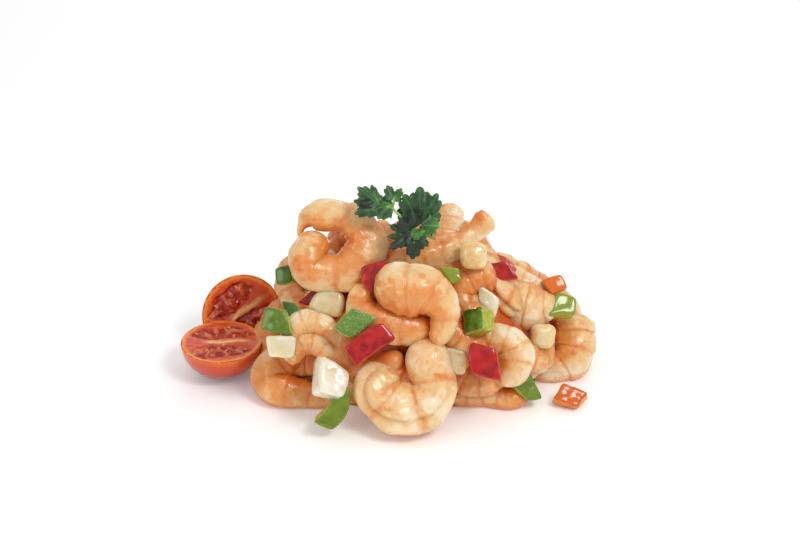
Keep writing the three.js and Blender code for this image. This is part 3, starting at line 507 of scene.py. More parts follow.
def box_of(piece):
    points = read_vectors(piece.data.vertices, "co")
    return points.min(0), points.max(0)


def boxes_meet(a, b):
    return bool((a[0] < b[1]).all() and (b[0] < a[1]).all())


def shade(piece, crease=42):
    piece.data.shade_smooth()
    piece.data.set_sharp_from_angle(angle=math.radians(crease))


# ---- Prawns ----
SEAM_AT = [0, 0.17, 0.34, 0.50, 0.67, 1]  # shares of the length where one segment ends
ROWS, COLUMNS = 132, 72


def course(spec, u):
    """A prawn's centre line at shares of its length: point, outward direction, half height of the body
    and how far its inner side can reach. It follows the points of its line, or else a curl."""
    if "line" not in spec:
        girth, curl = spec.get("girth", GIRTH), spec.get("curl", CURL)
        angle = np.radians(spec["head"] + spec["sweep"] * u)
        out = np.stack([np.cos(angle), np.sin(angle), 0 * angle], -1)
        centre = out * (curl * (1 + spec.get("spiral", 0.1) * (0.5 - u)))[:, None]
        centre[:, 2] = 3 * (u - 0.5)
        tall = girth * (1 - (1 - spec.get("taper", TAPER)) * np.clip(u, 0, 1) ** 1.4)
        return centre, out, tall, tall
    knots = np.array(spec["line"], float)
    share = knot_shares(spec)
    slope = np.empty_like(knots)
    slope[1:-1] = (knots[2:] - knots[:-2]) / (share[2:] - share[:-2])[:, None]
    slope[0] = (knots[1] - knots[0]) / (share[1] - share[0])
    slope[-1] = (knots[-1] - knots[-2]) / (share[-1] - share[-2])
    k = np.clip(np.searchsorted(share, u) - 1, 0, len(knots) - 2)
    span = (share[k + 1] - share[k])[:, None]
    t = np.clip((u - share[k])[:, None] / span, 0, 1)
    a, b, m, n = knots[k], knots[k + 1], slope[k] * span, slope[k + 1] * span
    spot = a * (2 * t**3 - 3 * t**2 + 1) + m * (t**3 - 2 * t**2 + t)
    spot = spot + b * (3 * t**2 - 2 * t**3) + n * (t**3 - t**2)
    along = a * (6 * t**2 - 6 * t) + m * (3 * t**2 - 4 * t + 1)
    along = along + b * (6 * t - 6 * t**2) + n * (3 * t**2 - 2 * t)
    along = along / np.linalg.norm(along[:, :2], axis=1, keepdims=True)
    out = np.stack([along[:, 1], -along[:, 0], 0 * u], -1) * turning(spec)
    spot = spot + along * ((u - np.clip(u, 0, 1)) * line_length(spec))[:, None] * [1, 1, 0, 0]
    bends = [bend_radius(*knots[i - 1 : i + 2, :2]) for i in range(1, len(knots) - 1)]
    reach = np.interp(u, share[1:-1], bends)
    return spot[:, :3], out, spot[:, 3], np.minimum(spot[:, 3], 0.95 * reach)


def bend_radius(a, b, c):
    """Radius of the circle through three points of a line."""
    area = abs((b - a)[0] * (c - a)[1] - (b - a)[1] * (c - a)[0])
    return np.linalg.norm(b - a) * np.linalg.norm(c - b) * np.linalg.norm(c - a) / max(2 * area, 1e-6)


def knot_shares(spec):
    steps = np.linalg.norm(np.diff(np.array(spec["line"], float)[:, :2], axis=0), axis=1)
    return np.concatenate([[0], np.cumsum(steps)]) / steps.sum()


def line_length(spec):
    if "line" not in spec:
        return math.radians(abs(spec["sweep"])) * spec.get("curl", CURL)
    return np.linalg.norm(np.diff(np.array(spec["line"], float)[:, :2], axis=0), axis=1).sum()


def turning(spec):
    """1 where the prawn curls counter-clockwise from head to tail, -1 where it curls clockwise."""
    if "line" not in spec:
        return math.copysign(1, spec["sweep"])
    step = np.diff(np.array(spec["line"], float)[:, :2], axis=0)
    return math.copysign(1, (step[:-1, 0] * step[1:, 1] - step[:-1, 1] * step[1:, 0]).sum())


def rounded_ends(u, spec, length, head, tail):
    """The share of its height that the body keeps near its two ends."""
    from_head = np.clip(u * length / (0.8 * head), 0, 1)
    from_tail = np.clip((1 - u) * length / ((0.3 if spec.get("fan") else 1.3) * tail), 0, 1)
    return (1 - (1 - from_head) ** 2.6) ** 0.45 * (1 - (1 - from_tail) ** 2.2) ** 0.5


def prawn_surface(spec, rows, columns, grow=0.0):
    """Points of a prawn's skin in its own millimetres with the values that its finish reads."""
    length = line_length(spec)
    seed = seed_of(spec["name"])
    share = np.linspace(0, 1, rows + 2)[1:-1]
    share = 0.75 * share + 0.25 * (0.5 - 0.5 * np.cos(np.pi * share))
    u, v = np.meshgrid(share, np.arange(columns) * 2 * np.pi / columns, indexing="ij")
    u = np.concatenate([u.ravel(), [0, 1]])
    v = np.concatenate([v.ravel(), [0, 0]])
    v = (v + np.pi) % (2 * np.pi) - np.pi
    rolled = v + turning(spec) * math.radians(spec.get("roll", 0))
    rolled = (rolled + np.pi) % (2 * np.pi) - np.pi
    back = 0.5 + 0.5 * np.cos(rolled)
    centre, out, body, inward = course(spec, u + (2 * u - 1) * (grow / length))
    kept = rounded_ends(u, spec, length, body[0 : columns].max(), body[-2 - columns : -2].max())

    # The segments lap over each other: each swells behind its seam and dips in front of the next.
    seams = spec.get("seams", SEAM_AT)
    last = len(seams) - 1
    phase = np.interp(u, seams, range(len(seams))) + 0.16 * np.sin(rolled) ** 2 * back - 0.10 * (1 - back)
    phase = phase + 0.07 * lumps(centre + 3 * np.stack([v, 0 * v, 0 * v], -1), 5, seed + 1)
    part = phase % 1
    inner = (phase > 0.4) & (phase < last - 0.4)
    edge = np.minimum(part, 1 - part)
    plate = (1 - np.exp(-part / 0.10)) * (1 - 0.8 * np.exp(-(1 - part) / 0.05))
    plate = np.where(inner | (part > 0.5) & (phase < 1) | (part < 0.5) & (phase > last - 1), plate, 1)
    swell = np.abs(np.sin(np.pi * part)) ** 0.6
    groove = RIDGE * spec.get("ridge", 1) * (0.55 * (1 - swell) + 0.75 * (1 - plate))
    groove = groove * (0.45 + 0.55 * back)

    # The back is slit and cleaned, with a soft lip on each side; the belly is flatter and pleated.
    slit = spec.get("slit", 1)
    opened = smooth(0.02, 0.08, u) * (1 - smooth(0.6, 0.8, u)) * slit
    wander = rolled - 0.10 * lumps(centre, 9, seed + 2)
    cut = opened * (VEIN_CUT * 1.25 * hump(wander, 0, 0.17) - 0.045 * hump(np.abs(wander), 0.45, 0.2))
    belly = smooth(1.9, 2.7, np.abs(rolled))
    pleat = 0.022 * belly * np.sin(2 * np.pi * 2 * phase)
    scale = 1 - groove - cut - 0.08 * belly + pleat

    tall = body * kept + grow
    thin = FLATNESS - spec.get("fan", 0) * 0.6 * smooth(0.55, 0.85, u)
    turn = -turning(spec) * v
    narrow = np.where(np.cos(v) < 0, inward / np.maximum(body, 0.01), 1)
    around = out * (np.cos(turn) * narrow)[:, None]
    around[:, 2] = thin * np.sin(turn)
    smooth_points = centre + around * tall[:, None]
    uneven = 0.80 * lumps(smooth_points, 8, seed + 3) + 0.34 * lumps(smooth_points, 3.6, seed + 4)
    uneven = uneven + 0.10 * lumps(smooth_points, 1.5, seed + 5)
    cut_end = 1 - smooth(0.03, 0.13, u)
    torn = cut_end * (0.75 * lumps(smooth_points, 2.6, seed + 6) + 0.4 * lumps(smooth_points, 1.2, seed + 7))
    if spec.get("fan"):
        torn = torn + smooth(0.86, 1, u) * 1.6 * lumps(smooth_points, 2.2, seed + 8)
    fade = np.minimum(1, tall / 2.5)
    points = centre + around * (tall * scale + (uneven + torn) * fade)[:, None]
    drawn = inner | (edge == part) & (phase > last - 1) & (phase < last - 0.5)
    line = np.where(drawn, hump(edge, 0, 0.09), 0)
    values = {
        "along": u,
        "back": back,
        "seam": line * (0.35 + 0.65 * back),
        "slit": opened * hump(wander, 0, 0.2),
        "cut_end": cut_end,
    }
    return points, values


def blush_of(spec, points, values):
    """How orange the flesh is: paler on the swell of each segment, deeper at the seams and the belly."""
    seed = seed_of(spec["name"])
    tone = spec.get("tone", 0.45)
    patches = lumps(points, 9, seed + 11) * 0.6 + lumps(points, 4, seed + 12) * 0.4
    stains = smooth(0.15, 0.75, lumps(points, 3.2, seed + 13) * 0.7 + lumps(points, 1.5, seed + 14) * 0.5)
    blush = 0.50 * tone + 0.26 * patches + 0.50 * (1 - values["back"]) ** 1.3 - 0.06
    blush = blush + 0.22 * stains * smooth(-0.2, 0.5, patches) + 0.28 * values["seam"] * (0.6 + 0.6 * stains)
    blush = blush + 0.12 * values["slit"]
    blush = blush + 0.25 * values["cut_end"] * smooth(0, 0.6, lumps(points, 2, seed + 15))
    return np.clip(blush, 0, 1)


def prawn(spec, rows=ROWS, columns=COLUMNS, grow=0.0):
    own, values = prawn_surface(spec, rows, columns, grow)
    faces = ring_faces(rows, columns)
    values["blush"] = blush_of(spec, own, values)
    points = rested(placed(own, spec))
    name = spec["name"] + ("" if grow == 0 else "_room")
    return new_object(name, points, faces, values)


# ---- Diced pepper and onion ----
def rounded_box(size, boxy, steps):
    """Points and quads of a box whose edges are rounded over: the higher boxy is, the sharper they are."""
    line = np.sin(np.linspace(-1, 1, steps + 1) * np.pi / 2) * 0.7 + np.linspace(-1, 1, steps + 1) * 0.3
    a, b = np.meshgrid(line, line, indexing="ij")
    points, faces = [], []
    for axis in range(3):
        for side in (-1, 1):
            sheet = np.empty(a.shape + (3,))
            sheet[..., axis] = side
            sheet[..., (axis + 1) % 3] = a
            sheet[..., (axis + 2) % 3] = b
            start = sum(len(p) for p in points)
            points.append(sheet.reshape(-1, 3))
            for i in range(steps):
                for j in range(steps):
                    corner = [start + i * (steps + 1) + j, start + (i + 1) * (steps + 1) + j,
                              start + (i + 1) * (steps + 1) + j + 1, start + i * (steps + 1) + j + 1]
                    faces.append(corner if side > 0 else corner[::-1])
    cube = np.concatenate(points)
    _, first, same = np.unique(np.round(cube, 5), axis=0, return_index=True, return_inverse=True)
    cube = cube[first]
    same = same.ravel()
    faces = [[int(same[k]) for k in face] for face in faces]
    span = (np.abs(cube) ** boxy).sum(axis=1) ** (1 / boxy)
    return cube / span[:, None] * np.array(size, float) / 2, cube, faces


def size_of_corners(spec):
    """Mean length and width of a piece that is given by the corners of its front face."""
    a, b, c, d = np.array(spec["corners"], float)
    long = (np.linalg.norm(b - a) + np.linalg.norm(c - d)) / 2
    wide = (np.linalg.norm(d - a) + np.linalg.norm(c - b)) / 2
    return long, wide, spec["thick"]


def between_corners(own, spec, long, wide):
    """Draws a box's points out to the corners of the piece's front face, bowed where it asks for that."""
    a, b, c, d = np.array(spec["corners"], float)
    across, up = (0.5 + own[:, 0] / long)[:, None], (0.5 + own[:, 1] / wide)[:, None]
    flat = a * (1 - across) * (1 - up) + b * across * (1 - up) + c * across * up + d * (1 - across) * up
    bowed = np.array([d - a + c - b, b - a + c - d])
    lengths = np.linalg.norm(bowed, axis=1)
    bowed = bowed / lengths[:, None]
    along_is_long = lengths[1] > lengths[0]
    part = 2 * (across if along_is_long else up) - 1
    flat = flat + (bowed[0] if along_is_long else bowed[1]) * spec.get("bow", 0) * (1 - part**2)
    return np.concatenate([flat, own[:, 2:]], axis=1)


def bent_slab(own, spec, long, wide):
    """A slab with the curve of the wall that it was cut from, narrower at one end."""
    x, y, z = own.T
    radius = long / math.radians(max(spec["bend"], 1))
    narrowed = y * (1 - spec["pinch"] * (x / long + 0.5))
    along, up = (radius + z) * np.sin(x / radius), (radius + z) * np.cos(x / radius) - radius
    return np.stack([along, narrowed, up], -1)


def diced(spec, steps=20, grow=0.0):
    """A diced piece, its edges a little rough and its corners off square."""
    long, wide, thick = spec["size"] if "size" in spec else size_of_corners(spec)
    kind = spec["kind"]
    seed = seed_of(spec["name"])
    own, cube, faces = rounded_box((long, wide, thick), SOFT_BOX if spec.get("round") else BOX, steps)
    outward = own / np.linalg.norm(own, axis=1, keepdims=True)
    skin_side = -1 if spec.get("inside_out") else 1
    depth = cube[:, 2] * skin_side
    rough = 0.50 * lumps(own, 5, seed) + 0.22 * lumps(own, 2.2, seed + 1)
    if kind != "onion":
        rough = rough + smooth(0.5, 1, -depth) * 0.28 * lumps(own, 1.5, seed + 2)
    for corner in np.ndindex(2, 2, 2):
        side = np.array(corner) * 2 - 1
        share = np.prod(0.5 + 0.5 * cube * side, axis=1)
        pull = lattice(np.array([side + 5, side + 15, side + 25]), seed) * CUT_SLIP
        own = own + share[:, None] * pull * np.array((long, wide, thick))
    own = own + outward * (rough + grow)[:, None]
    shape = between_corners if "corners" in spec else bent_slab
    points = rested(placed(shape(own, spec, long, wide), spec))
    name = spec["name"] + ("" if grow == 0 else "_room")
    face_on = np.abs(cube[:, 2]) > 0.999
    return new_object(name, points, faces, {"depth": depth, "flat": face_on})


# ---- Tomato halves ----
TOMATO = dict(length=31, width=29, wall=3.4, septum=2.6, hollow=2.2)
TOMATO_ROUND, TOMATO_SKIN_ROWS, TOMATO_FACE_ROWS = 168, 44, 70


def tomato_face(x, y, seed):
    """Height of the cut face at a point, with how much of it is gel, pale core and pale fibres."""
    across = (TOMATO["width"] / 2 - TOMATO["wall"] - TOMATO["septum"] / 2) / 2
    middle = TOMATO["septum"] / 2 + across
    reach = TOMATO["length"] / 2 - TOMATO["wall"] - 1
    flat = np.stack([x, y, 0 * x], -1)
    wobble = 0.17 * lumps(flat, 5, seed) + 0.13 * lumps(flat, 2.2, seed + 1) + 0.05 * lumps(flat, 1, seed + 6)
    inside = np.hypot(x / reach, (np.abs(y) - middle) / across) + wobble
    gel = 1 - smooth(0.80, 1.04, inside)
    turn = np.arctan2(y, x + 2)
    spokes = 0.5 + 0.5 * np.sin(9 * turn + 2.2 * lumps(flat, 4, seed + 8))
    fibres = spokes**3 * smooth(0.2, 0.6, np.hypot(x / reach, y / (2 * middle)))
    fibres = fibres * smooth(-0.3, 0.4, lumps(flat, 3.4, seed + 9))
    bulge = 0.9 * (1 - np.clip(inside, 0, 1) ** 2) + 0.45 * lumps(flat, 2.4, seed + 2)
    bulge = bulge + 0.22 * lumps(flat, 1.2, seed + 7)
    height = gel * (-TOMATO["hollow"] * 0.62 + bulge + 0.5 * fibres) + 0.10 * lumps(flat, 3, seed + 3)
    height = height + 0.12 * lumps(flat * [0.4, 2, 1], 1.2, seed + 4) * (1 - gel)
    core = hump(y + 0.6 * lumps(flat, 6, seed + 5), 0, 0.9)
    core = core * (1 - smooth(0.5, 0.95, np.abs(x / reach - 0.15)))
    return height, gel, core, fibres


def tomato(spec, grow=0.0):
    """Half a cherry tomato cut lengthways: domed skin below and the cut face with two gel pockets."""
    seed = seed_of(spec["name"])
    radii = np.array([TOMATO["length"], TOMATO["width"], TOMATO["width"]]) / 2 + grow
    turn = np.arange(TOMATO_ROUND) * 2 * np.pi / TOMATO_ROUND
    rows = []
    for t in np.linspace(0, 1, TOMATO_SKIN_ROWS + 1)[1:]:
        reach, drop = math.sin(t * np.pi / 2), math.cos(t * np.pi / 2)
        rows.append(np.stack([radii[0] * reach * np.cos(turn), radii[1] * reach * np.sin(turn),
                              0 * turn - radii[2] * drop - 0.25 * t], -1))
    skin_count = len(rows)
    for t in np.linspace(1, 0, TOMATO_FACE_ROWS + 1)[:-1]:
        inset = t * (1 - 0.35 / radii[0])
        ring = [radii[0] * inset * np.cos(turn), radii[1] * inset * np.sin(turn), 0 * turn + grow]
        rows.append(np.stack(ring, -1))
    own = np.concatenate(rows + [np.array([[0, 0, -radii[2]]]), np.array([[0, 0, grow]])])
    on_face = np.zeros(len(own))
    on_face[skin_count * TOMATO_ROUND : len(rows) * TOMATO_ROUND] = 1
    on_face[-1] = 1
    height, gel, core, fibres = tomato_face(own[:, 0], own[:, 1], seed)
    rim = np.hypot(own[:, 0] / radii[0], own[:, 1] / radii[1])
    if grow == 0:
        own[:, 2] += on_face * height * (1 - smooth(0.93, 0.99, rim))
        own = own + (1 - on_face)[:, None] * own / 40 * 0.35 * lumps(own, 9, seed + 7)[:, None]
    faces = ring_faces(len(rows), TOMATO_ROUND)
    points = rested(placed(own, spec))
    values = {"face": on_face, "gel": gel * on_face, "core": core * on_face * (1 - gel), "rim": rim,
              "fibres": fibres * on_face}
    return new_object(spec["name"] + ("" if grow == 0 else "_room"), points, faces, values)


def seed_places(spec, count=6):
    """Where seeds lie in the gel of a half, with their directions, sizes and shade."""
    rng = np.random.default_rng(seed_of(spec["name"]))
    across = (TOMATO["width"] / 2 - TOMATO["wall"] - TOMATO["septum"] / 2) / 2
    turned = rotation(spec["tilt"], spec["towards"], spec["turn"])
    places = []
    for side in (-1, 1):
        for k in range(count):
            x = ((k + 0.5) / count * 2 - 1) * 0.72 * TOMATO["length"] / 2 + rng.uniform(-0.8, 0.8)
            y = side * (TOMATO["septum"] / 2 + across * rng.uniform(0.5, 1.5))
            height, gel, _, _ = tomato_face(np.array([x]), np.array([y]), seed_of(spec["name"]))
            if gel[0] < 0.5:
                continue
            along = np.array((x * 0.5 + rng.normal(0, 3), y, 0))
            face = np.array((rng.normal(0, 0.3), rng.normal(0, 0.3), 1))
            spot = placed(np.array([[x, y, height[0] - 0.05]]), spec)[0]
            places.append((spot, turned @ along, turned @ face, (1, 1, 1), 0))
    return places


def tomato_seeds(spec, finish):
    """Flat seeds scattered over the gel of a half."""
    rows, columns = 9, 12
    leans, turns = np.linspace(0, np.pi, rows + 2)[1:-1], np.arange(columns) * 2 * np.pi / columns
    lean, turn = np.meshgrid(leans, turns, indexing="ij")
    lean, turn = (np.concatenate([values.ravel(), [0, np.pi]]) for values in (lean, turn))
    narrow = np.sin(lean) * (1 - 0.3 * np.cos(lean))
    points = np.stack([0.78 * narrow * np.cos(turn), 1.25 * np.cos(lean), 0.42 * narrow * np.sin(turn)], -1)
    pattern = new_object("seed", points / MM, ring_faces(rows, columns))
    pattern.data.shade_smooth()
    seeds = turned_points(spec["name"] + "_seeds", seed_places(spec))
    run_tree(seeds, scatter_tree("seeds", pattern, finish))
    bpy.data.objects.remove(pattern)
    return seeds


# ---- Parsley ----
SPRIG_AT = np.array((-5, -5, 70.0))
# Points of the stems as read: pixels across and down, and millimetres in front of the sprig's plane.
STEMS_SEEN = [
    [(384, 206, -0.2), (392, 208, 0.2), (398, 214, 0.3), (405, 221, 0.3), (413, 229, 0.3),
     (424, 234, 0.6), (436, 239, 0.8)],
    [(391, 209, 0), (393.5, 204, 0.1), (393.5, 198, 0.1)],
    [(413, 229, 0.3), (418, 219, 0), (421, 208, -0.4)],
    [(413, 230, 0.6), (407, 232, 1.2), (400, 235, 1.6)],
    [(413, 230, 0.6), (415, 236, 1.2), (414, 243, 1.6)],
]
# The leaflets: base of each, read in the same way; the way it points in the plane that faces the viewer
# (degrees, 0 to the right and 90 up); its length in pixels; its width as a share of that; how far it leans
# to the viewer and rolls over (degrees); and how dark it is, as painted shade where it lies in shadow.
LEAFLETS_SEEN = [
    ((394, 207, 0), 183, 24, 0.62, 0, 0, 0.1),
    ((378, 204, 0.2), 109, 19, 0.42, -10, 10, 0.3),
    ((379, 205, 0), 140, 26, 0.5, 8, 0, 0.2),
    ((378, 206, 0.3), 168, 24, 0.42, -12, 0, 0.35),
    ((378, 208, 0.2), 194, 21, 0.46, 10, 0, 0.4),
    ((373, 204, 0.9), 178, 15, 0.42, 20, 0, 0.95),
    ((388, 206, 0.2), 232, 15, 0.75, 6, 0, 0.2),
    ((393, 200, 0), 112, 14, 0.66, 0, 20, 0.35),
    ((393, 201, 0.1), 56, 14.5, 0.6, 0, -15, 0.1),
    ((421, 223, -0.8), 92, 32, 0.62, -8, 0, 0.35),
    ((423, 223, -0.2), 64, 30, 0.55, 10, -10, 0.3),
    ((419, 223, -0.3), 118, 29, 0.62, 14, 10, 0.45),
    ((418, 223, 0.2), 146, 23, 0.62, -16, 10, 0.5),
    ((424, 223, 0.4), 34, 18, 0.8, -20, -10, 0.25),
    ((421, 225, 1.6), -4, 17.5, 0.85, 24, 0, 0),
    ((420, 226, 1.2), -38, 14.5, 0.62, -20, 0, 0.75),
    ((415, 229, 1.3), 160, 18, 0.8, 28, 0, 0.9),
    ((416, 227, 1.9), 104, 17, 0.52, 34, 0, 0.8),
    ((421, 224, 1.3), 70, 18, 0.5, 30, 0, 0.55),
    ((405, 232, 1.5), 156, 16, 0.42, 10, 0, 0.45),
    ((405, 236, 1.9), 182, 16.5, 0.36, -10, 0, 0.5),
    ((406, 239, 1.9), 211, 18, 0.42, 16, 0, 0.85),
    ((412, 232, 1.6), 250, 13, 0.7, 20, 0, 0.7),
    ((411, 235, 2.3), 15, 14, 0.55, 30, 0, 0),
    ((415, 238, 1.8), 262, 19, 0.7, -6, 0, 1),
    ((418, 237, 1.6), 316, 13, 0.62, 10, 0, 0.6),
    ((410, 229, 0.6), 200, 13, 0.7, -30, 0, 0.7),
]
FACING = np.array((0, -0.866, 0.5))  # from the sprig to the viewer


def leaflet_blade(fan=80, rows=14, columns=84):
    """One leaflet of unit size: three lobes with small round teeth, veined and ruffled at the rim."""
    points, faces, vein, rim = [], [], [], []
    turns = np.radians(np.linspace(-fan, fan, columns + 1))
    for row in range(rows + 1):
        share = 0.04 + 0.96 * row / rows
        for turn in turns:
            lobe = 0.80 + 0.20 * abs(math.cos(2.05 * turn)) ** 0.7
            tooth = 0.15 * (abs(math.cos(turn * 6.2)) ** 0.6 - 0.6) * share**5
            reach = share * (lobe * (1 - 0.30 * (turn / math.radians(fan)) ** 2) + tooth)
            ruffle = 0.085 * share**2 * math.sin(turn * 4.1 + 0.7) - 0.035 * share**3 * math.cos(turn * 12.4)
            cup = 0.16 * share - 0.24 * share**2
            points.append((1.0 * reach * math.sin(turn), reach * math.cos(turn), ruffle + cup))
            rays = abs(math.sin(turn * 4.1)) if abs(turn) < 1.15 else 1
            vein.append(math.exp(-((rays * share / 0.12) ** 2)) * (1 - 0.45 * share))
            rim.append(float(smooth(0.82, 1, share)))
    for row in range(rows):
        for column in range(columns):
            a = row * (columns + 1) + column
            faces.append((a, a + 1, a + columns + 2, a + columns + 1))
    return np.array(points), faces, {"vein": np.array(vein), "rim": np.array(rim)}


def leaf_places():
    """Base, blade direction, face direction, sizes and shade of every leaflet of the sprig."""
    rng = np.random.default_rng(11)
    side = np.array((1.0, 0, 0))
    up = np.cross(FACING, side)
    places = []
    for base, pointing, pixels, spread, lean, roll, shade in LEAFLETS_SEEN:
        length = round(pixels * PIXEL, 1)
        along = side * math.cos(math.radians(pointing)) + up * math.sin(math.radians(pointing))
        across = np.cross(along, FACING)
        lean, roll = math.radians(lean), math.radians(roll)
        face = FACING * math.cos(lean) - along * math.sin(lean)
        along = along * math.cos(lean) + FACING * math.sin(lean)
        face = face * math.cos(roll) + across * math.sin(roll) + rng.normal(0, 0.05, 3)
        size = (length * spread, length, length * rng.uniform(0.8, 1.25))
        places.append((np.array(on_sprig(*base)), along, face, size, shade))
    return places


def input_socket(tree, name, kind, value=None):
    socket = tree.interface.new_socket(name=name, in_out="INPUT", socket_type=kind)
    if value is not None:
        socket.default_value = value
    return socket


def grow_tree(name, inputs):
    """An empty node tree for a mesh, with its named inputs."""
    tree = bpy.data.node_groups.new(name, "GeometryNodeTree")
    tree.interface.new_socket(name="Geometry", in_out="INPUT", socket_type="NodeSocketGeometry")
    tree.interface.new_socket(name="Geometry", in_out="OUTPUT", socket_type="NodeSocketGeometry")
    for label, (kind, value) in inputs.items():
        input_socket(tree, label, kind, value)
    return tree, tree.nodes.new("NodeGroupInput"), tree.nodes.new("NodeGroupOutput")


def run_tree(piece, tree, values=None):
    """Runs the tree on the piece and keeps the result as its plain mesh."""
    modifier = piece.modifiers.new(tree.name, "NODES")
    modifier.node_group = tree
    for item in tree.interface.items_tree:
        if item.in_out == "INPUT" and values and item.name in values:
            modifier[item.identifier] = values[item.name]
    swap_mesh(piece, evaluated_mesh(piece))


def scatter_tree(name, pattern, material):
    """Puts a copy of the pattern on each point, turned and sized by the point's own values."""
    tree, start, end = grow_tree(name, {"Size": ("NodeSocketFloat", 1.0), "Seed": ("NodeSocketInt", 7)})
    new, link = tree.nodes.new, tree.links.new
    source = new("GeometryNodeObjectInfo")
    source.inputs["Object"].default_value = pattern
    turn = new("GeometryNodeInputNamedAttribute")
    turn.data_type = "FLOAT_VECTOR"
    turn.inputs["Name"].default_value = "turn"
    size = new("GeometryNodeInputNamedAttribute")
    size.data_type = "FLOAT_VECTOR"
    size.inputs["Name"].default_value = "size"
    spread = new("FunctionNodeRandomValue")
    spread.inputs[2].default_value = 0.96
    spread.inputs[3].default_value = 1.04
    link(start.outputs["Seed"], spread.inputs["Seed"])
    to_turn = new("FunctionNodeEulerToRotation")
    factor = new("ShaderNodeMath")
    factor.operation = "MULTIPLY"
    scale = new("ShaderNodeVectorMath")
    scale.operation = "SCALE"
    points = new("GeometryNodeMeshToPoints")
    copies = new("GeometryNodeInstanceOnPoints")
    real = new("GeometryNodeRealizeInstances")
    finish = new("GeometryNodeSetMaterial")
    finish.inputs["Material"].default_value = material
    link(start.outputs["Geometry"], points.inputs["Mesh"])
    link(points.outputs[0], copies.inputs["Points"])
    link(source.outputs["Geometry"], copies.inputs["Instance"])
    link(turn.outputs[0], to_turn.inputs[0])
    link(to_turn.outputs[0], copies.inputs["Rotation"])
    link(start.outputs["Size"], factor.inputs[0])
    link(spread.outputs[1], factor.inputs[1])
    link(size.outputs[0], scale.inputs[0])
    link(factor.outputs[0], scale.inputs["Scale"])
    link(scale.outputs[0], copies.inputs["Scale"])
    link(copies.outputs[0], real.inputs[0])
    link(real.outputs[0], finish.inputs["Geometry"])
    link(finish.outputs[0], end.inputs[0])
    return tree


def tube_tree(name, material):
    """Makes a round stalk along each line of the mesh, capped at its ends."""
    inputs = {"Radius": ("NodeSocketFloat", 0.0005), "Sides": ("NodeSocketInt", 10)}
    tree, start, end = grow_tree(name, inputs)
    new, link = tree.nodes.new, tree.links.new
    line = new("GeometryNodeMeshToCurve")
    soft = new("GeometryNodeCurveSplineType")
    soft.spline_type = "CATMULL_ROM"
    fine = new("GeometryNodeResampleCurve")
    fine.inputs["Count"].default_value = 28
    profile = new("GeometryNodeCurvePrimitiveCircle")
    tube = new("GeometryNodeCurveToMesh")
    tube.inputs["Fill Caps"].default_value = True
    real = new("GeometryNodeRealizeInstances")
    finish = new("GeometryNodeSetMaterial")
    finish.inputs["Material"].default_value = material
    link(start.outputs["Geometry"], line.inputs["Mesh"])
    link(line.outputs[0], soft.inputs[0])
    link(soft.outputs[0], fine.inputs["Curve"])
    link(start.outputs["Sides"], profile.inputs["Resolution"])
    link(start.outputs["Radius"], profile.inputs["Radius"])
    link(fine.outputs[0], tube.inputs["Curve"])
    link(profile.outputs[0], tube.inputs["Profile Curve"])
    link(tube.outputs[0], real.inputs[0])
    link(real.outputs[0], finish.inputs["Geometry"])
    link(finish.outputs[0], end.inputs[0])
    return tree


def turned_points(name, places):
    """A mesh of loose points in millimetres, each with the turn, size and shade of what will stand on it."""
    mesh = bpy.data.meshes.new(name)
    mesh.from_pydata([tuple(np.asarray(place[0]) * MM) for place in places], [], [])
    turns, sizes, shades = [], [], []
    for _, along, face, size, shade in places:
        forward = Vector(along).normalized()
        upward = Vector(face).normalized()
        side = forward.cross(upward).normalized()
        upward = side.cross(forward)
        turns.extend(Matrix((side, forward, upward)).transposed().to_euler())
        sizes.extend(length * MM for length in size)
        shades.append(shade)
    mesh.attributes.new("turn", "FLOAT_VECTOR", "POINT").data.foreach_set("vector", turns)
    mesh.attributes.new("size", "FLOAT_VECTOR", "POINT").data.foreach_set("vector", sizes)
    mesh.attributes.new("shade", "FLOAT", "POINT").data.foreach_set("value", shades)
    piece = bpy.data.objects.new(name, mesh)
    bpy.context.scene.collection.objects.link(piece)
    return piece


def parsley_sprig(leaf_finish, stem_finish):
    points, faces, values = leaflet_blade()
    blade = new_object("leaf_blade", points / MM, faces, values)
    wall = blade.modifiers.new("wall", "SOLIDIFY")
    wall.thickness = 0.04
    wall.offset = 0
    swap_mesh(blade, evaluated_mesh(blade))
    blade.data.shade_smooth()
    at = SPRIG_AT - MIDDLE
    leaves = turned_points("parsley_leaves", [(base + at, *rest) for base, *rest in leaf_places()])
    run_tree(leaves, scatter_tree("leaflets", blade, leaf_finish))
    bpy.data.objects.remove(blade)
    stalks = []
    for stem in STEMS_SEEN:
        line = bpy.data.meshes.new("stalk")
        line.from_pydata([tuple((np.array(on_sprig(*point)) + at) * MM) for point in stem],
                         [(i, i + 1) for i in range(len(stem) - 1)], [])
        stalk = bpy.data.objects.new(f"parsley_stalk_{len(stalks) + 1}", line)
        bpy.context.scene.collection.objects.link(stalk)
        run_tree(stalk, tube_tree("stalks", stem_finish), {"Radius": 0.00052 if not stalks else 0.0004})
        stalk.data.shade_smooth()
        stalks.append(stalk)
    return leaves, stalks


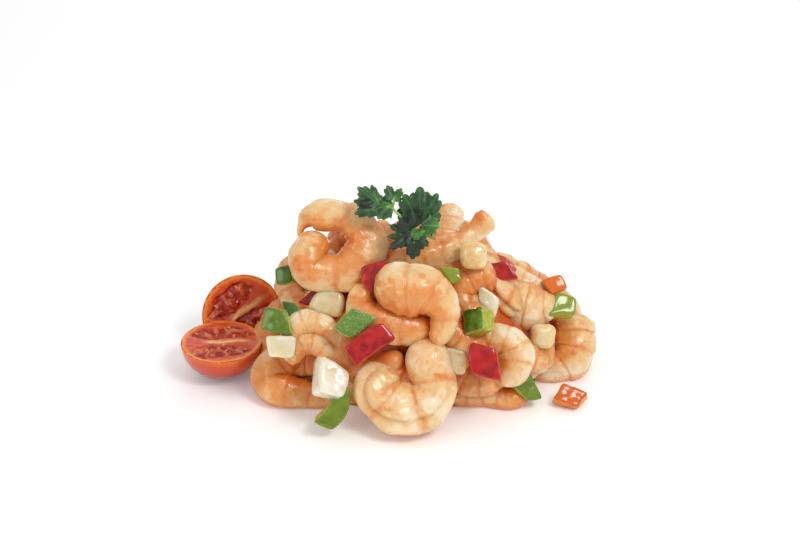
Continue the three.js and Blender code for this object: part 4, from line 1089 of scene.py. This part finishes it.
# ---- Inside of the heap ----
def heap_inside(rows=150, columns=300):
    """The prawns deeper in the heap, seen only in the gaps: one lumpy body."""
    drop = np.linspace(0, 1, rows + 2)[1:-1]
    lean, turn = np.meshgrid(drop * np.pi * 0.62, np.arange(columns) * 2 * np.pi / columns, indexing="ij")
    out = np.stack([np.sin(lean) * np.cos(turn), np.sin(lean) * np.sin(turn), np.cos(lean)], -1)
    out = out.reshape(-1, 3)
    out = np.concatenate([out, [[0, 0, 1], [0, 0, -1]]])
    half = np.array((CORE["width"] / 2, CORE["depth"] / 2, CORE["height"])) * 0.97
    own = out * half
    own[-1] = (0, 0, half[2] * math.cos(np.pi * 0.62))
    rows_at = lumps(own * [1, 1, 1.3], 13, 5)
    bands = np.abs(np.sin((own @ np.array([0.5, 0.7, 0.5]) + 6 * rows_at) * np.pi / 7.5)) ** 0.5
    swell = 1.6 * rows_at + 0.9 * bands + 0.5 * lumps(own, 5, 6) + 0.15 * lumps(own, 2, 7)
    own = own + out * (swell - 1.2)[:, None]
    points = rested(own + np.array((-4, CORE["back"], 0)) - MIDDLE)
    blush = np.clip(0.36 + 0.3 * lumps(own, 6, 8) + 0.3 * (1 - bands), 0, 1)
    values = {"blush": blush, "seam": (1 - bands) * 0.5, "back": 0.5, "slit": 0, "cut_end": 0, "along": 0.5}
    return new_object("heap_core_flesh", points, ring_faces(rows, columns), values)


# ---- Finishes ----
def tint(hexadecimal):
    """A colour of light from its usual six-figure name."""
    parts = [int(hexadecimal[i : i + 2], 16) / 255 for i in (0, 2, 4)]
    return tuple(p / 12.92 if p <= 0.04045 else ((p + 0.055) / 1.055) ** 2.4 for p in parts) + (1.0,)


class Finish:
    """One procedural material: what is the same all over is set on the shader's own sockets."""

    def __init__(self, name, **constants):
        self.material = bpy.data.materials.new(name)
        self.material.use_nodes = True
        self.tree = self.material.node_tree
        self.shader = self.tree.nodes["Principled BSDF"]
        for label, value in constants.items():
            self.shader.inputs[label.replace("_", " ")].default_value = value
        self.where = self.node("ShaderNodeTexCoord", "Object")

    def node(self, kind, output=0, inputs=None, **settings):
        made = self.tree.nodes.new(kind)
        for key, value in settings.items():
            setattr(made, key, value)
        for key, value in (inputs or {}).items():
            if isinstance(value, bpy.types.NodeSocket):
                self.tree.links.new(value, made.inputs[key])
            else:
                made.inputs[key].default_value = value
        return made.outputs[output]

    def value(self, key):
        return self.node("ShaderNodeAttribute", "Fac", attribute_name=key)

    def noise(self, size, detail=3, twist=0.0, where=None):
        """Cloudy noise with features of a size in millimetres."""
        inputs = {"Vector": where or self.where, "Scale": 1000 / size, "Detail": detail, "Distortion": twist}
        return self.node("ShaderNodeTexNoise", 0, inputs)

    def stretched(self, factors):
        """The object's coordinates drawn out, for grain that runs one way."""
        return self.node("ShaderNodeMapping", 0, {"Vector": self.where, "Scale": factors})

    def cells(self, size, feature="DISTANCE_TO_EDGE", where=None):
        inputs = {"Vector": where or self.where, "Scale": 1000 / size}
        return self.node("ShaderNodeTexVoronoi", 0, inputs, feature=feature)

    def sum(self, *parts):
        """Adds (value, weight) pairs and plain values."""
        total = 0.0
        for part in parts:
            value, weight = part if isinstance(part, tuple) else (part, 1.0)
            total = self.math("MULTIPLY_ADD", value, weight, total)
        return total

    def math(self, operation, a, b=0.0, c=0.0):
        return self.node("ShaderNodeMath", 0, {0: a, 1: b, 2: c}, operation=operation)

    def slope(self, value, low, high, to_low=0.0, to_high=1.0):
        inputs = {"Value": value, "From Min": low, "From Max": high, "To Min": to_low, "To Max": to_high}
        return self.node("ShaderNodeMapRange", 0, inputs, clamp=True, interpolation_type="SMOOTHSTEP")

    def ramp(self, value, stops):
        """Colours at shares from 0 to 1."""
        made = self.node("ShaderNodeValToRGB", 0, {"Fac": value})
        ramp = made.node.color_ramp
        ramp.interpolation = "EASE"
        for k, (place, colour) in enumerate(stops):
            stop = ramp.elements[k] if k < 2 else ramp.elements.new(place)
            stop.position = place
            stop.color = tint(colour)
        return made

    def mix(self, share, a, b, way="MIX"):
        a, b = (tint(c) if isinstance(c, str) else c for c in (a, b))
        return self.node("ShaderNodeMix", 2, {0: share, 6: a, 7: b}, data_type="RGBA", blend_type=way)

    def bump(self, height, depth, strength=1.0, under=None):
        """Fine relief, its full depth in millimetres."""
        inputs = {"Height": height, "Distance": depth * MM, "Strength": strength}
        if under is not None:
            inputs["Normal"] = under
        return self.node("ShaderNodeBump", 0, inputs)

    def finish(self, colour, roughness=None, normal=None, film=None):
        self.tree.links.new(colour, self.shader.inputs["Base Color"])
        if roughness is not None:
            self.tree.links.new(roughness, self.shader.inputs["Roughness"])
        if normal is not None:
            self.tree.links.new(normal, self.shader.inputs["Normal"])
        if normal is not None or film is not None:
            self.tree.links.new(film or normal, self.shader.inputs["Coat Normal"])
        return self.material


def prawn_finish():
    """Cooked, peeled prawn: pearly cream flesh with orange-pink bands, stains and fine veins, and wet."""
    f = Finish("prawn_flesh", Subsurface_Weight=0.45, Subsurface_Scale=0.0026,
               Subsurface_Radius=(1.0, 0.5, 0.18), Coat_Weight=0.4, Coat_Roughness=0.06,
               Sheen_Weight=0.25, Sheen_Roughness=0.35, Sheen_Tint=(1, 0.94, 0.86, 1))
    mottle = f.noise(3.2, 5, 0.6)
    speckle = f.noise(0.8, 3)
    # Painted shade: where neighbours close in, the flesh turns deeper, darker orange.
    tone = f.sum((f.value("blush"), 0.90), (f.value("crowd"), 0.62), (mottle, 0.42), (speckle, 0.14), -0.26)
    tones = [(0.0, "F2E0BE"), (1.0, "D0580C"), (0.20, "EAC086"), (0.44, "E39448"), (0.70, "DE721E")]
    flesh = f.ramp(tone, tones)
    threads = f.cells(4.6, where=f.node("ShaderNodeMixRGB", 0, {0: 0.0035, 1: f.where, 2: f.noise(2.2, 2)}))
    thread = f.slope(threads, 0.05, 0.0)
    shown = f.slope(f.noise(6.5, 2), 0.5, 0.66)
    veined = f.mix(f.math("MULTIPLY", f.math("MULTIPLY", thread, shown), 0.20), flesh, "C87430")
    seam = f.math("MULTIPLY", f.value("seam"), f.slope(f.noise(2.4, 3), 0.35, 0.65, 0.05, 0.42))
    colour = f.mix(seam, veined, "DA7C40")
    wet = f.slope(f.noise(2.0, 3), 0.3, 0.7, 0.24, 0.46)
    grain = f.bump(f.noise(0.55, 4, 0.4), 0.05, 0.6)
    relief = f.bump(f.cells(1.5, "SMOOTH_F1"), 0.10, 0.5, grain)
    relief = f.bump(f.noise(3.4, 4, 0.8), 0.55, 0.55, relief)
    film = f.bump(f.noise(1.7, 3, 0.5), 0.20, 0.7, f.bump(f.noise(3.2, 2, 0.6), 0.40, 0.6))
    return f.finish(colour, wet, relief, film)


def pepper_finish(name, skin, skin_dark, flesh, flesh_pale, inside):
    """Sweet pepper: glossy skin on one face, moist paler flesh at the cuts, a blistered inner face."""
    f = Finish(name, Subsurface_Weight=0.10, Subsurface_Scale=0.0015, Specular_IOR_Level=0.35,
               Subsurface_Radius=(1.0, 0.6, 0.3), Coat_Weight=0.30, Coat_Roughness=0.09)
    depth = f.value("depth")
    cloud = f.noise(3.5, 3)
    # Darker skin from cloudy noise is the pepper's own tone; where neighbours close in it is painted shade.
    skin_tone = f.mix(f.slope(f.sum((cloud, 1.0), (f.value("crowd"), 0.35)), 0.35, 0.8), skin, skin_dark)
    skin_tone = f.mix(f.math("MULTIPLY", f.value("yellow"), 0.85), skin_tone, flesh)
    cells = f.cells(0.7, "F1")
    flesh_tone = f.mix(f.slope(f.sum((f.noise(1.6, 3), 0.8), (cells, 0.3)), 0.3, 0.8), flesh, flesh_pale)
    # Painted shade: cut flesh darkens towards the dark skin colour where neighbours close in.
    flesh_tone = f.mix(f.math("MULTIPLY", f.value("crowd"), 0.55), flesh_tone, skin_dark)
    at_skin = f.slope(f.sum(depth, (f.noise(1.2, 2), 0.12)), 0.86, 0.97)
    at_inside = f.slope(f.sum(depth, (f.noise(1.5, 2), 0.2)), -0.72, -0.9)
    specks = f.slope(f.noise(0.55, 3), 0.45, 0.75, 0, 0.55)
    inner_tone = f.mix(specks, inside, flesh_pale)
    colour = f.mix(at_skin, f.mix(at_inside, flesh_tone, inner_tone), skin_tone)
    rough = f.slope(f.sum(at_skin, (f.noise(1.5, 2), 0.4)), 0, 1.2, 0.34, 0.14)
    relief = f.bump(f.noise(0.9, 4), 0.16, f.slope(at_skin, 0, 1, 0.7, 0.06))
    film = f.bump(f.noise(2.6, 3, 0.4), 0.13, f.slope(at_skin, 0, 1, 0.9, 0.5))
    return f.finish(colour, rough, relief, film)


def onion_finish():
    """Diced onion: watery white flesh with faint layer lines, glossy."""
    f = Finish("onion_flesh", Subsurface_Weight=0.9, Subsurface_Scale=0.008,
               Subsurface_Radius=(1.0, 0.85, 0.6), Coat_Weight=0.7, Coat_Roughness=0.05)
    lines = f.noise(1.5, 4, 0.3, f.stretched((0.25, 1.0, 0.25)))
    # Painted shade: where neighbours close in, the flesh goes towards orange-brown.
    tone = f.sum((f.value("yellow"), 0.62), (f.noise(4, 3), 0.45), (lines, 0.55),
                 (f.value("crowd"), 0.62), -0.40)
    flesh = f.ramp(tone, [(0.0, "E8E2D2"), (1.0, "BE7430"), (0.3, "E0D0A8"), (0.6, "DCB068")])
    wet = f.slope(f.noise(2.5, 3), 0.3, 0.7, 0.16, 0.36)
    film = f.bump(f.noise(2.4, 2, 0.4), 0.25, 0.7)
    return f.finish(flesh, wet, f.bump(lines, 0.22, 0.7), film)


def tomato_finish():
    """Cut cherry tomato: shiny skin, firm orange-red wall, soft septum with a pale core, wet gel."""
    f = Finish("tomato_flesh", Subsurface_Weight=0.25, Subsurface_Scale=0.002,
               Subsurface_Radius=(1.0, 0.35, 0.15), Coat_Weight=0.45, Coat_Roughness=0.06,
               Specular_IOR_Level=0.3)
    # Painted light and shade: the skin is dark red low down and orange high up.
    skin = f.ramp(f.sum((f.value("height"), 1.0), (f.noise(9, 2), 0.2), -0.1),
                  [(0.0, "780C06"), (1.0, "E87820"), (0.35, "B0240C"), (0.75, "D64C14")])
    cloud = f.noise(2.2, 4, 0.5)
    wall = f.ramp(f.sum((f.value("rim"), 1.0), (cloud, 0.16), -0.08),
                  [(0.0, "CC5428"), (1.0, "B8300A"), (0.6, "C63C16"), (0.84, "CE4A10"), (0.95, "EC8A28")])
    core = f.mix(f.math("MULTIPLY", f.value("core"), f.slope(cloud, 0.3, 0.6, 0.5, 0.95)), wall, "ECC878")
    jelly = f.ramp(f.sum((f.noise(2.2, 4, 1.0), 1.0), 0.0),
                   [(0.3, "7E1002"), (0.75, "CC4A1A"), (0.5, "A62006")])
    jelly = f.mix(f.math("MULTIPLY", f.value("fibres"), 0.7), jelly, "E4824A")
    cut = f.mix(f.slope(f.sum(f.value("gel"), (cloud, 0.2), -0.1), 0.3, 0.75), core, jelly)
    colour = f.mix(f.slope(f.value("face"), 0.45, 0.55), skin, cut)
    rough = f.slope(f.math("MULTIPLY", f.value("face"), f.math("SUBTRACT", 1.0, f.value("gel"))),
                    0, 1, 0.13, 0.30)
    fibres = f.noise(0.8, 4)
    return f.finish(colour, rough, f.bump(fibres, 0.10, f.math("MULTIPLY", f.value("face"), 0.7)))


def seed_finish():
    f = Finish("tomato_seed", Subsurface_Weight=0.4, Subsurface_Scale=0.001,
               Coat_Weight=0.6, Coat_Roughness=0.06)
    tone = f.ramp(f.noise(1.1, 3), [(0.25, "B4501E"), (0.75, "D69048")])
    return f.finish(tone, f.slope(f.noise(0.7, 2), 0.3, 0.7, 0.2, 0.4), f.bump(f.noise(0.4, 2), 0.04, 0.5))


def leaf_finish():
    """Curly parsley: deep green, a little lighter at the veins and the turned rims."""
    f = Finish("parsley_leaf", Subsurface_Weight=0.15, Subsurface_Scale=0.0008,
               Subsurface_Radius=(0.4, 1.0, 0.2), Coat_Weight=0.12, Coat_Roughness=0.25)
    # Painted shade: darker for leaflets that lie in shadow and where neighbours close in.
    tone = f.sum((f.value("vein"), 0.40), (f.value("rim"), 0.14), (f.noise(2.0, 3), 0.62),
                 (f.value("shade"), -0.62),
                 (f.value("crowd"), -0.22), 0.15)
    leaf = f.ramp(tone, [(0.0, "142A16"), (1.0, "9CC460"), (0.32, "2C5628"), (0.62, "508A32")])
    rough = f.slope(f.noise(1.2, 3), 0.3, 0.7, 0.35, 0.55)
    relief = f.bump(f.sum((f.value("vein"), -0.6), (f.noise(0.7, 3), 0.6)), 0.14, 0.7)
    return f.finish(leaf, rough, relief)


def stem_finish():
    f = Finish("parsley_stem", Subsurface_Weight=0.2, Subsurface_Scale=0.001,
               Coat_Weight=0.2, Coat_Roughness=0.2)
    tone = f.ramp(f.noise(2.5, 2), [(0.3, "5C8A38"), (0.7, "9DBB62")])
    ribs = f.noise(0.5, 2, 0.0, f.stretched((1.0, 1.0, 0.2)))
    return f.finish(tone, f.slope(ribs, 0.3, 0.7, 0.3, 0.5), f.bump(ribs, 0.06, 0.6))


# ---- Painted shade in crevices: how close everything lies ----
CROWD_CELL = 1.0  # millimetres
CROWD_REACH = 3  # cells that each pass spreads over, on either side


def paint_crevice_shade(pieces):
    """Writes to each point how much of the neighbours stands close in front of it, from 0 to 1, as painted
    shade for the finishes: darker or deeper orange in crevices.
    """
    low, high = (np.array(c, float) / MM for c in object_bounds())
    low, high = low - 12, high + 12
    shape = np.ceil((high - low) / CROWD_CELL).astype(int) + 1
    amount = np.zeros(shape)
    for piece in pieces:
        mesh = piece.data
        areas = read_vectors(mesh.polygons, "area", 1)[:, 0] / MM**2
        centres = read_vectors(mesh.polygons, "center") / MM
        cells = np.clip(((centres - low) / CROWD_CELL).astype(int), 0, shape - 1)
        np.add.at(amount, tuple(cells.T), areas)
    for axis in range(3):
        for _ in range(2):
            total = np.cumsum(np.concatenate([np.zeros_like(amount.take([0], axis)), amount], axis), axis)
            count = amount.shape[axis]
            ahead = np.minimum(np.arange(count) + CROWD_REACH + 1, count)
            behind = np.maximum(np.arange(count) - CROWD_REACH, 0)
            amount = (total.take(ahead, axis) - total.take(behind, axis)) / (2 * CROWD_REACH + 1)
    for piece in pieces:
        mesh = piece.data
        points = read_vectors(mesh.vertices, "co") / MM
        normals = read_vectors(mesh.vertex_normals, "vector")
        spots = (points + normals * 3.0 - low) / CROWD_CELL
        cells = np.clip(np.floor(spots).astype(int), 0, shape - 2)
        part = np.clip(spots - cells, 0, 1)
        close = 0
        for corner in np.ndindex(2, 2, 2):
            share = np.prod(np.where(np.array(corner) == 1, part, 1 - part), axis=1)
            close = close + share * amount[tuple((cells + np.array(corner)).T)]
        crowd = smooth(CROWD_LOW, CROWD_HIGH, close)
        # Painted shade also on faces that look down close to the floor.
        crowd = np.maximum(crowd, 0.55 * smooth(9, 0, points[:, 2]) * smooth(0.3, -0.6, normals[:, 2]))
        write_values(mesh, "crowd", crowd)


# ---- Assembly ----
FINISHES = {
    "prawn": prawn_finish(),
    "greenPepper": pepper_finish("green_pepper", "567E22", "22400E", "98A430", "BCBE4A", "568238"),
    "redPepper": pepper_finish("red_pepper", "BC1A18", "76100F", "BC2E1C", "D04E30", "BE4430"),
    "orangePepper": pepper_finish("orange_pepper", "D24A16", "A83410", "E07A1C", "E8922E", "D4641A"),
    "onion": onion_finish(),
    "tomato": tomato_finish(),
}


def recipe(spec, kind):
    """The piece, and the room that it takes from those of lower rank."""
    if kind == "prawn":
        return prawn(spec), prawn(spec, 66, 36, GAP)
    if kind == "tomato":
        return tomato(spec), tomato(spec, GAP)
    return diced(spec), diced(spec, 8, GAP)


def fit_together():
    """Builds every piece in order of rank: a piece keeps its shape where a later one meets it."""
    ranked = [(worked_out(spec, read_diced), spec["kind"]) for spec in DICE]
    ranked += [(spec, "tomato") for spec in TOMATOES]
    ranked += [(worked_out(spec, read_prawn), "prawn") for spec in PRAWNS]
    ranked += [(spec, "prawn") for spec in DEEPER]
    pieces, rooms, deeper = [], [], []
    for spec, kind in ranked:
        piece, room = recipe(spec, kind)
        piece["node"], piece["kind"] = spec["name"], kind
        if "yellow" in spec:
            write_values(piece.data, "yellow", spec["yellow"])
        if kind == "tomato":
            # Height over the floor, for the skin's painted light and shade: dark red low down, orange high
            # up.
            height = read_vectors(piece.data.vertices, "co")[:, 2]
            write_values(piece.data, "height", (height - height.min()) / (height.max() - height.min()))
        near = [other for other in rooms if boxes_meet(box_of(piece), box_of(other))]
        if near:
            cut_back(piece, near)
        if spec["name"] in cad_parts:
            pieces.append(piece)
        else:
            deeper.append(piece)
        rooms.append(room)
    inside = heap_inside()
    inside["node"], inside["kind"] = "heap_core", "prawn"
    cut_back(inside, rooms)
    for room in rooms:
        bpy.data.objects.remove(room)
    return pieces, [inside] + deeper


def dress(piece, node, finish):
    piece.data.materials.clear()
    piece.data.materials.append(finish)
    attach(piece, "root")
    if node:
        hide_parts(node)


pieces, inner_pieces = fit_together()
leaf_green, stem_green = leaf_finish(), stem_finish()
leaves, stalks = parsley_sprig(leaf_green, stem_green)
seed_pale = seed_finish()
seeds = [tomato_seeds(spec, seed_pale) for spec in TOMATOES]
paint_crevice_shade(pieces + inner_pieces + [leaves])
for piece in pieces:
    shade(piece)
    kind, node = piece["kind"], piece["node"]
    piece.name = node + "_flesh"
    dress(piece, node, FINISHES[kind])
for piece in inner_pieces:
    shade(piece)
    dress(piece, "heap_core", FINISHES["prawn"])
dress(leaves, "parsley_sprig", leaf_green)
for stalk in stalks:
    dress(stalk, None, stem_green)
for scattered in seeds:
    dress(scattered, None, seed_pale)


# ---- Stage ----
SKY = 0.80  # strength of the light from all round


def area_light(name, at, aim, size, power, colour=(1, 1, 1)):
    light = bpy.data.lights.new(name, "AREA")
    light.shape = "RECTANGLE"
    light.size, light.size_y = size
    light.energy = power
    light.color = colour
    lamp = bpy.data.objects.new(name, light)
    lamp.location = at
    lamp.rotation_euler = (Vector(aim) - Vector(at)).to_track_quat("-Z", "Y").to_euler()
    bpy.context.scene.collection.objects.link(lamp)


def pale_floor():
    mesh = bpy.data.meshes.new("floor")
    reach = 3.0
    corners = [(-reach, -reach, 0), (reach, -reach, 0), (reach, reach, 0), (-reach, reach, 0)]
    mesh.from_pydata(corners, [], [(0, 1, 2, 3)])
    floor = bpy.data.objects.new("floor", mesh)
    bpy.context.scene.collection.objects.link(floor)
    paint = bpy.data.materials.new("floor_paint")
    paint.use_nodes = True
    shader = paint.node_tree.nodes["Principled BSDF"]
    shader.inputs["Base Color"].default_value = (0.95, 0.95, 0.95, 1)
    shader.inputs["Roughness"].default_value = 0.9
    shader.inputs["Specular IOR Level"].default_value = 0.0
    shader.inputs["Emission Color"].default_value = (1, 1, 1, 1)
    shader.inputs["Emission Strength"].default_value = 0.12
    mesh.materials.append(paint)
    floor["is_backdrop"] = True


def studio_sky(tree):
    """Bright overhead and dimmer round the sides, so that wet faces keep their colour."""
    where = tree.nodes.new("ShaderNodeTexCoord")
    split = tree.nodes.new("ShaderNodeSeparateXYZ")
    ramp = tree.nodes.new("ShaderNodeValToRGB")
    tree.links.new(where.outputs["Generated"], split.inputs[0])
    tree.links.new(split.outputs["Z"], ramp.inputs["Fac"])
    ramp.color_ramp.elements[0].color = (0.30, 0.30, 0.30, 1)
    ramp.color_ramp.elements[1].color = (1, 1, 1, 1)
    ramp.color_ramp.elements[1].position = 0.75
    tree.links.new(ramp.outputs["Color"], tree.nodes["Background"].inputs["Color"])
    tree.nodes["Background"].inputs["Strength"].default_value = SKY


pale_floor()
world = bpy.data.worlds.new("studio")
world.use_nodes = True
studio_sky(world.node_tree)
scene = bpy.context.scene
scene.world = world
scene.view_settings.view_transform = "Standard"
AIM = Vector((4.66, 10.34, 37.20)) * MM
area_light("key", (0.28, -0.34, 0.55), AIM, (0.22, 0.16), 1.7)
area_light("fill", (-0.45, -0.40, 0.30), AIM, (0.16, 0.30), 0.4)
area_light("back", (0.10, 0.60, 0.40), AIM, (0.60, 0.20), 0.6)

ELEVATION, DISTANCE = 30, 0.718
camera = bpy.data.cameras.new("camera")
camera.lens = 85
camera.sensor_width = 36
camera.clip_start = 0.01
viewer = bpy.data.objects.new("camera", camera)
lift = math.radians(ELEVATION)
viewer.location = AIM + Vector((0, -math.cos(lift), math.sin(lift))) * DISTANCE
viewer.rotation_euler = (AIM - viewer.location).to_track_quat("-Z", "Y").to_euler()
scene.collection.objects.link(viewer)
scene.camera = viewer
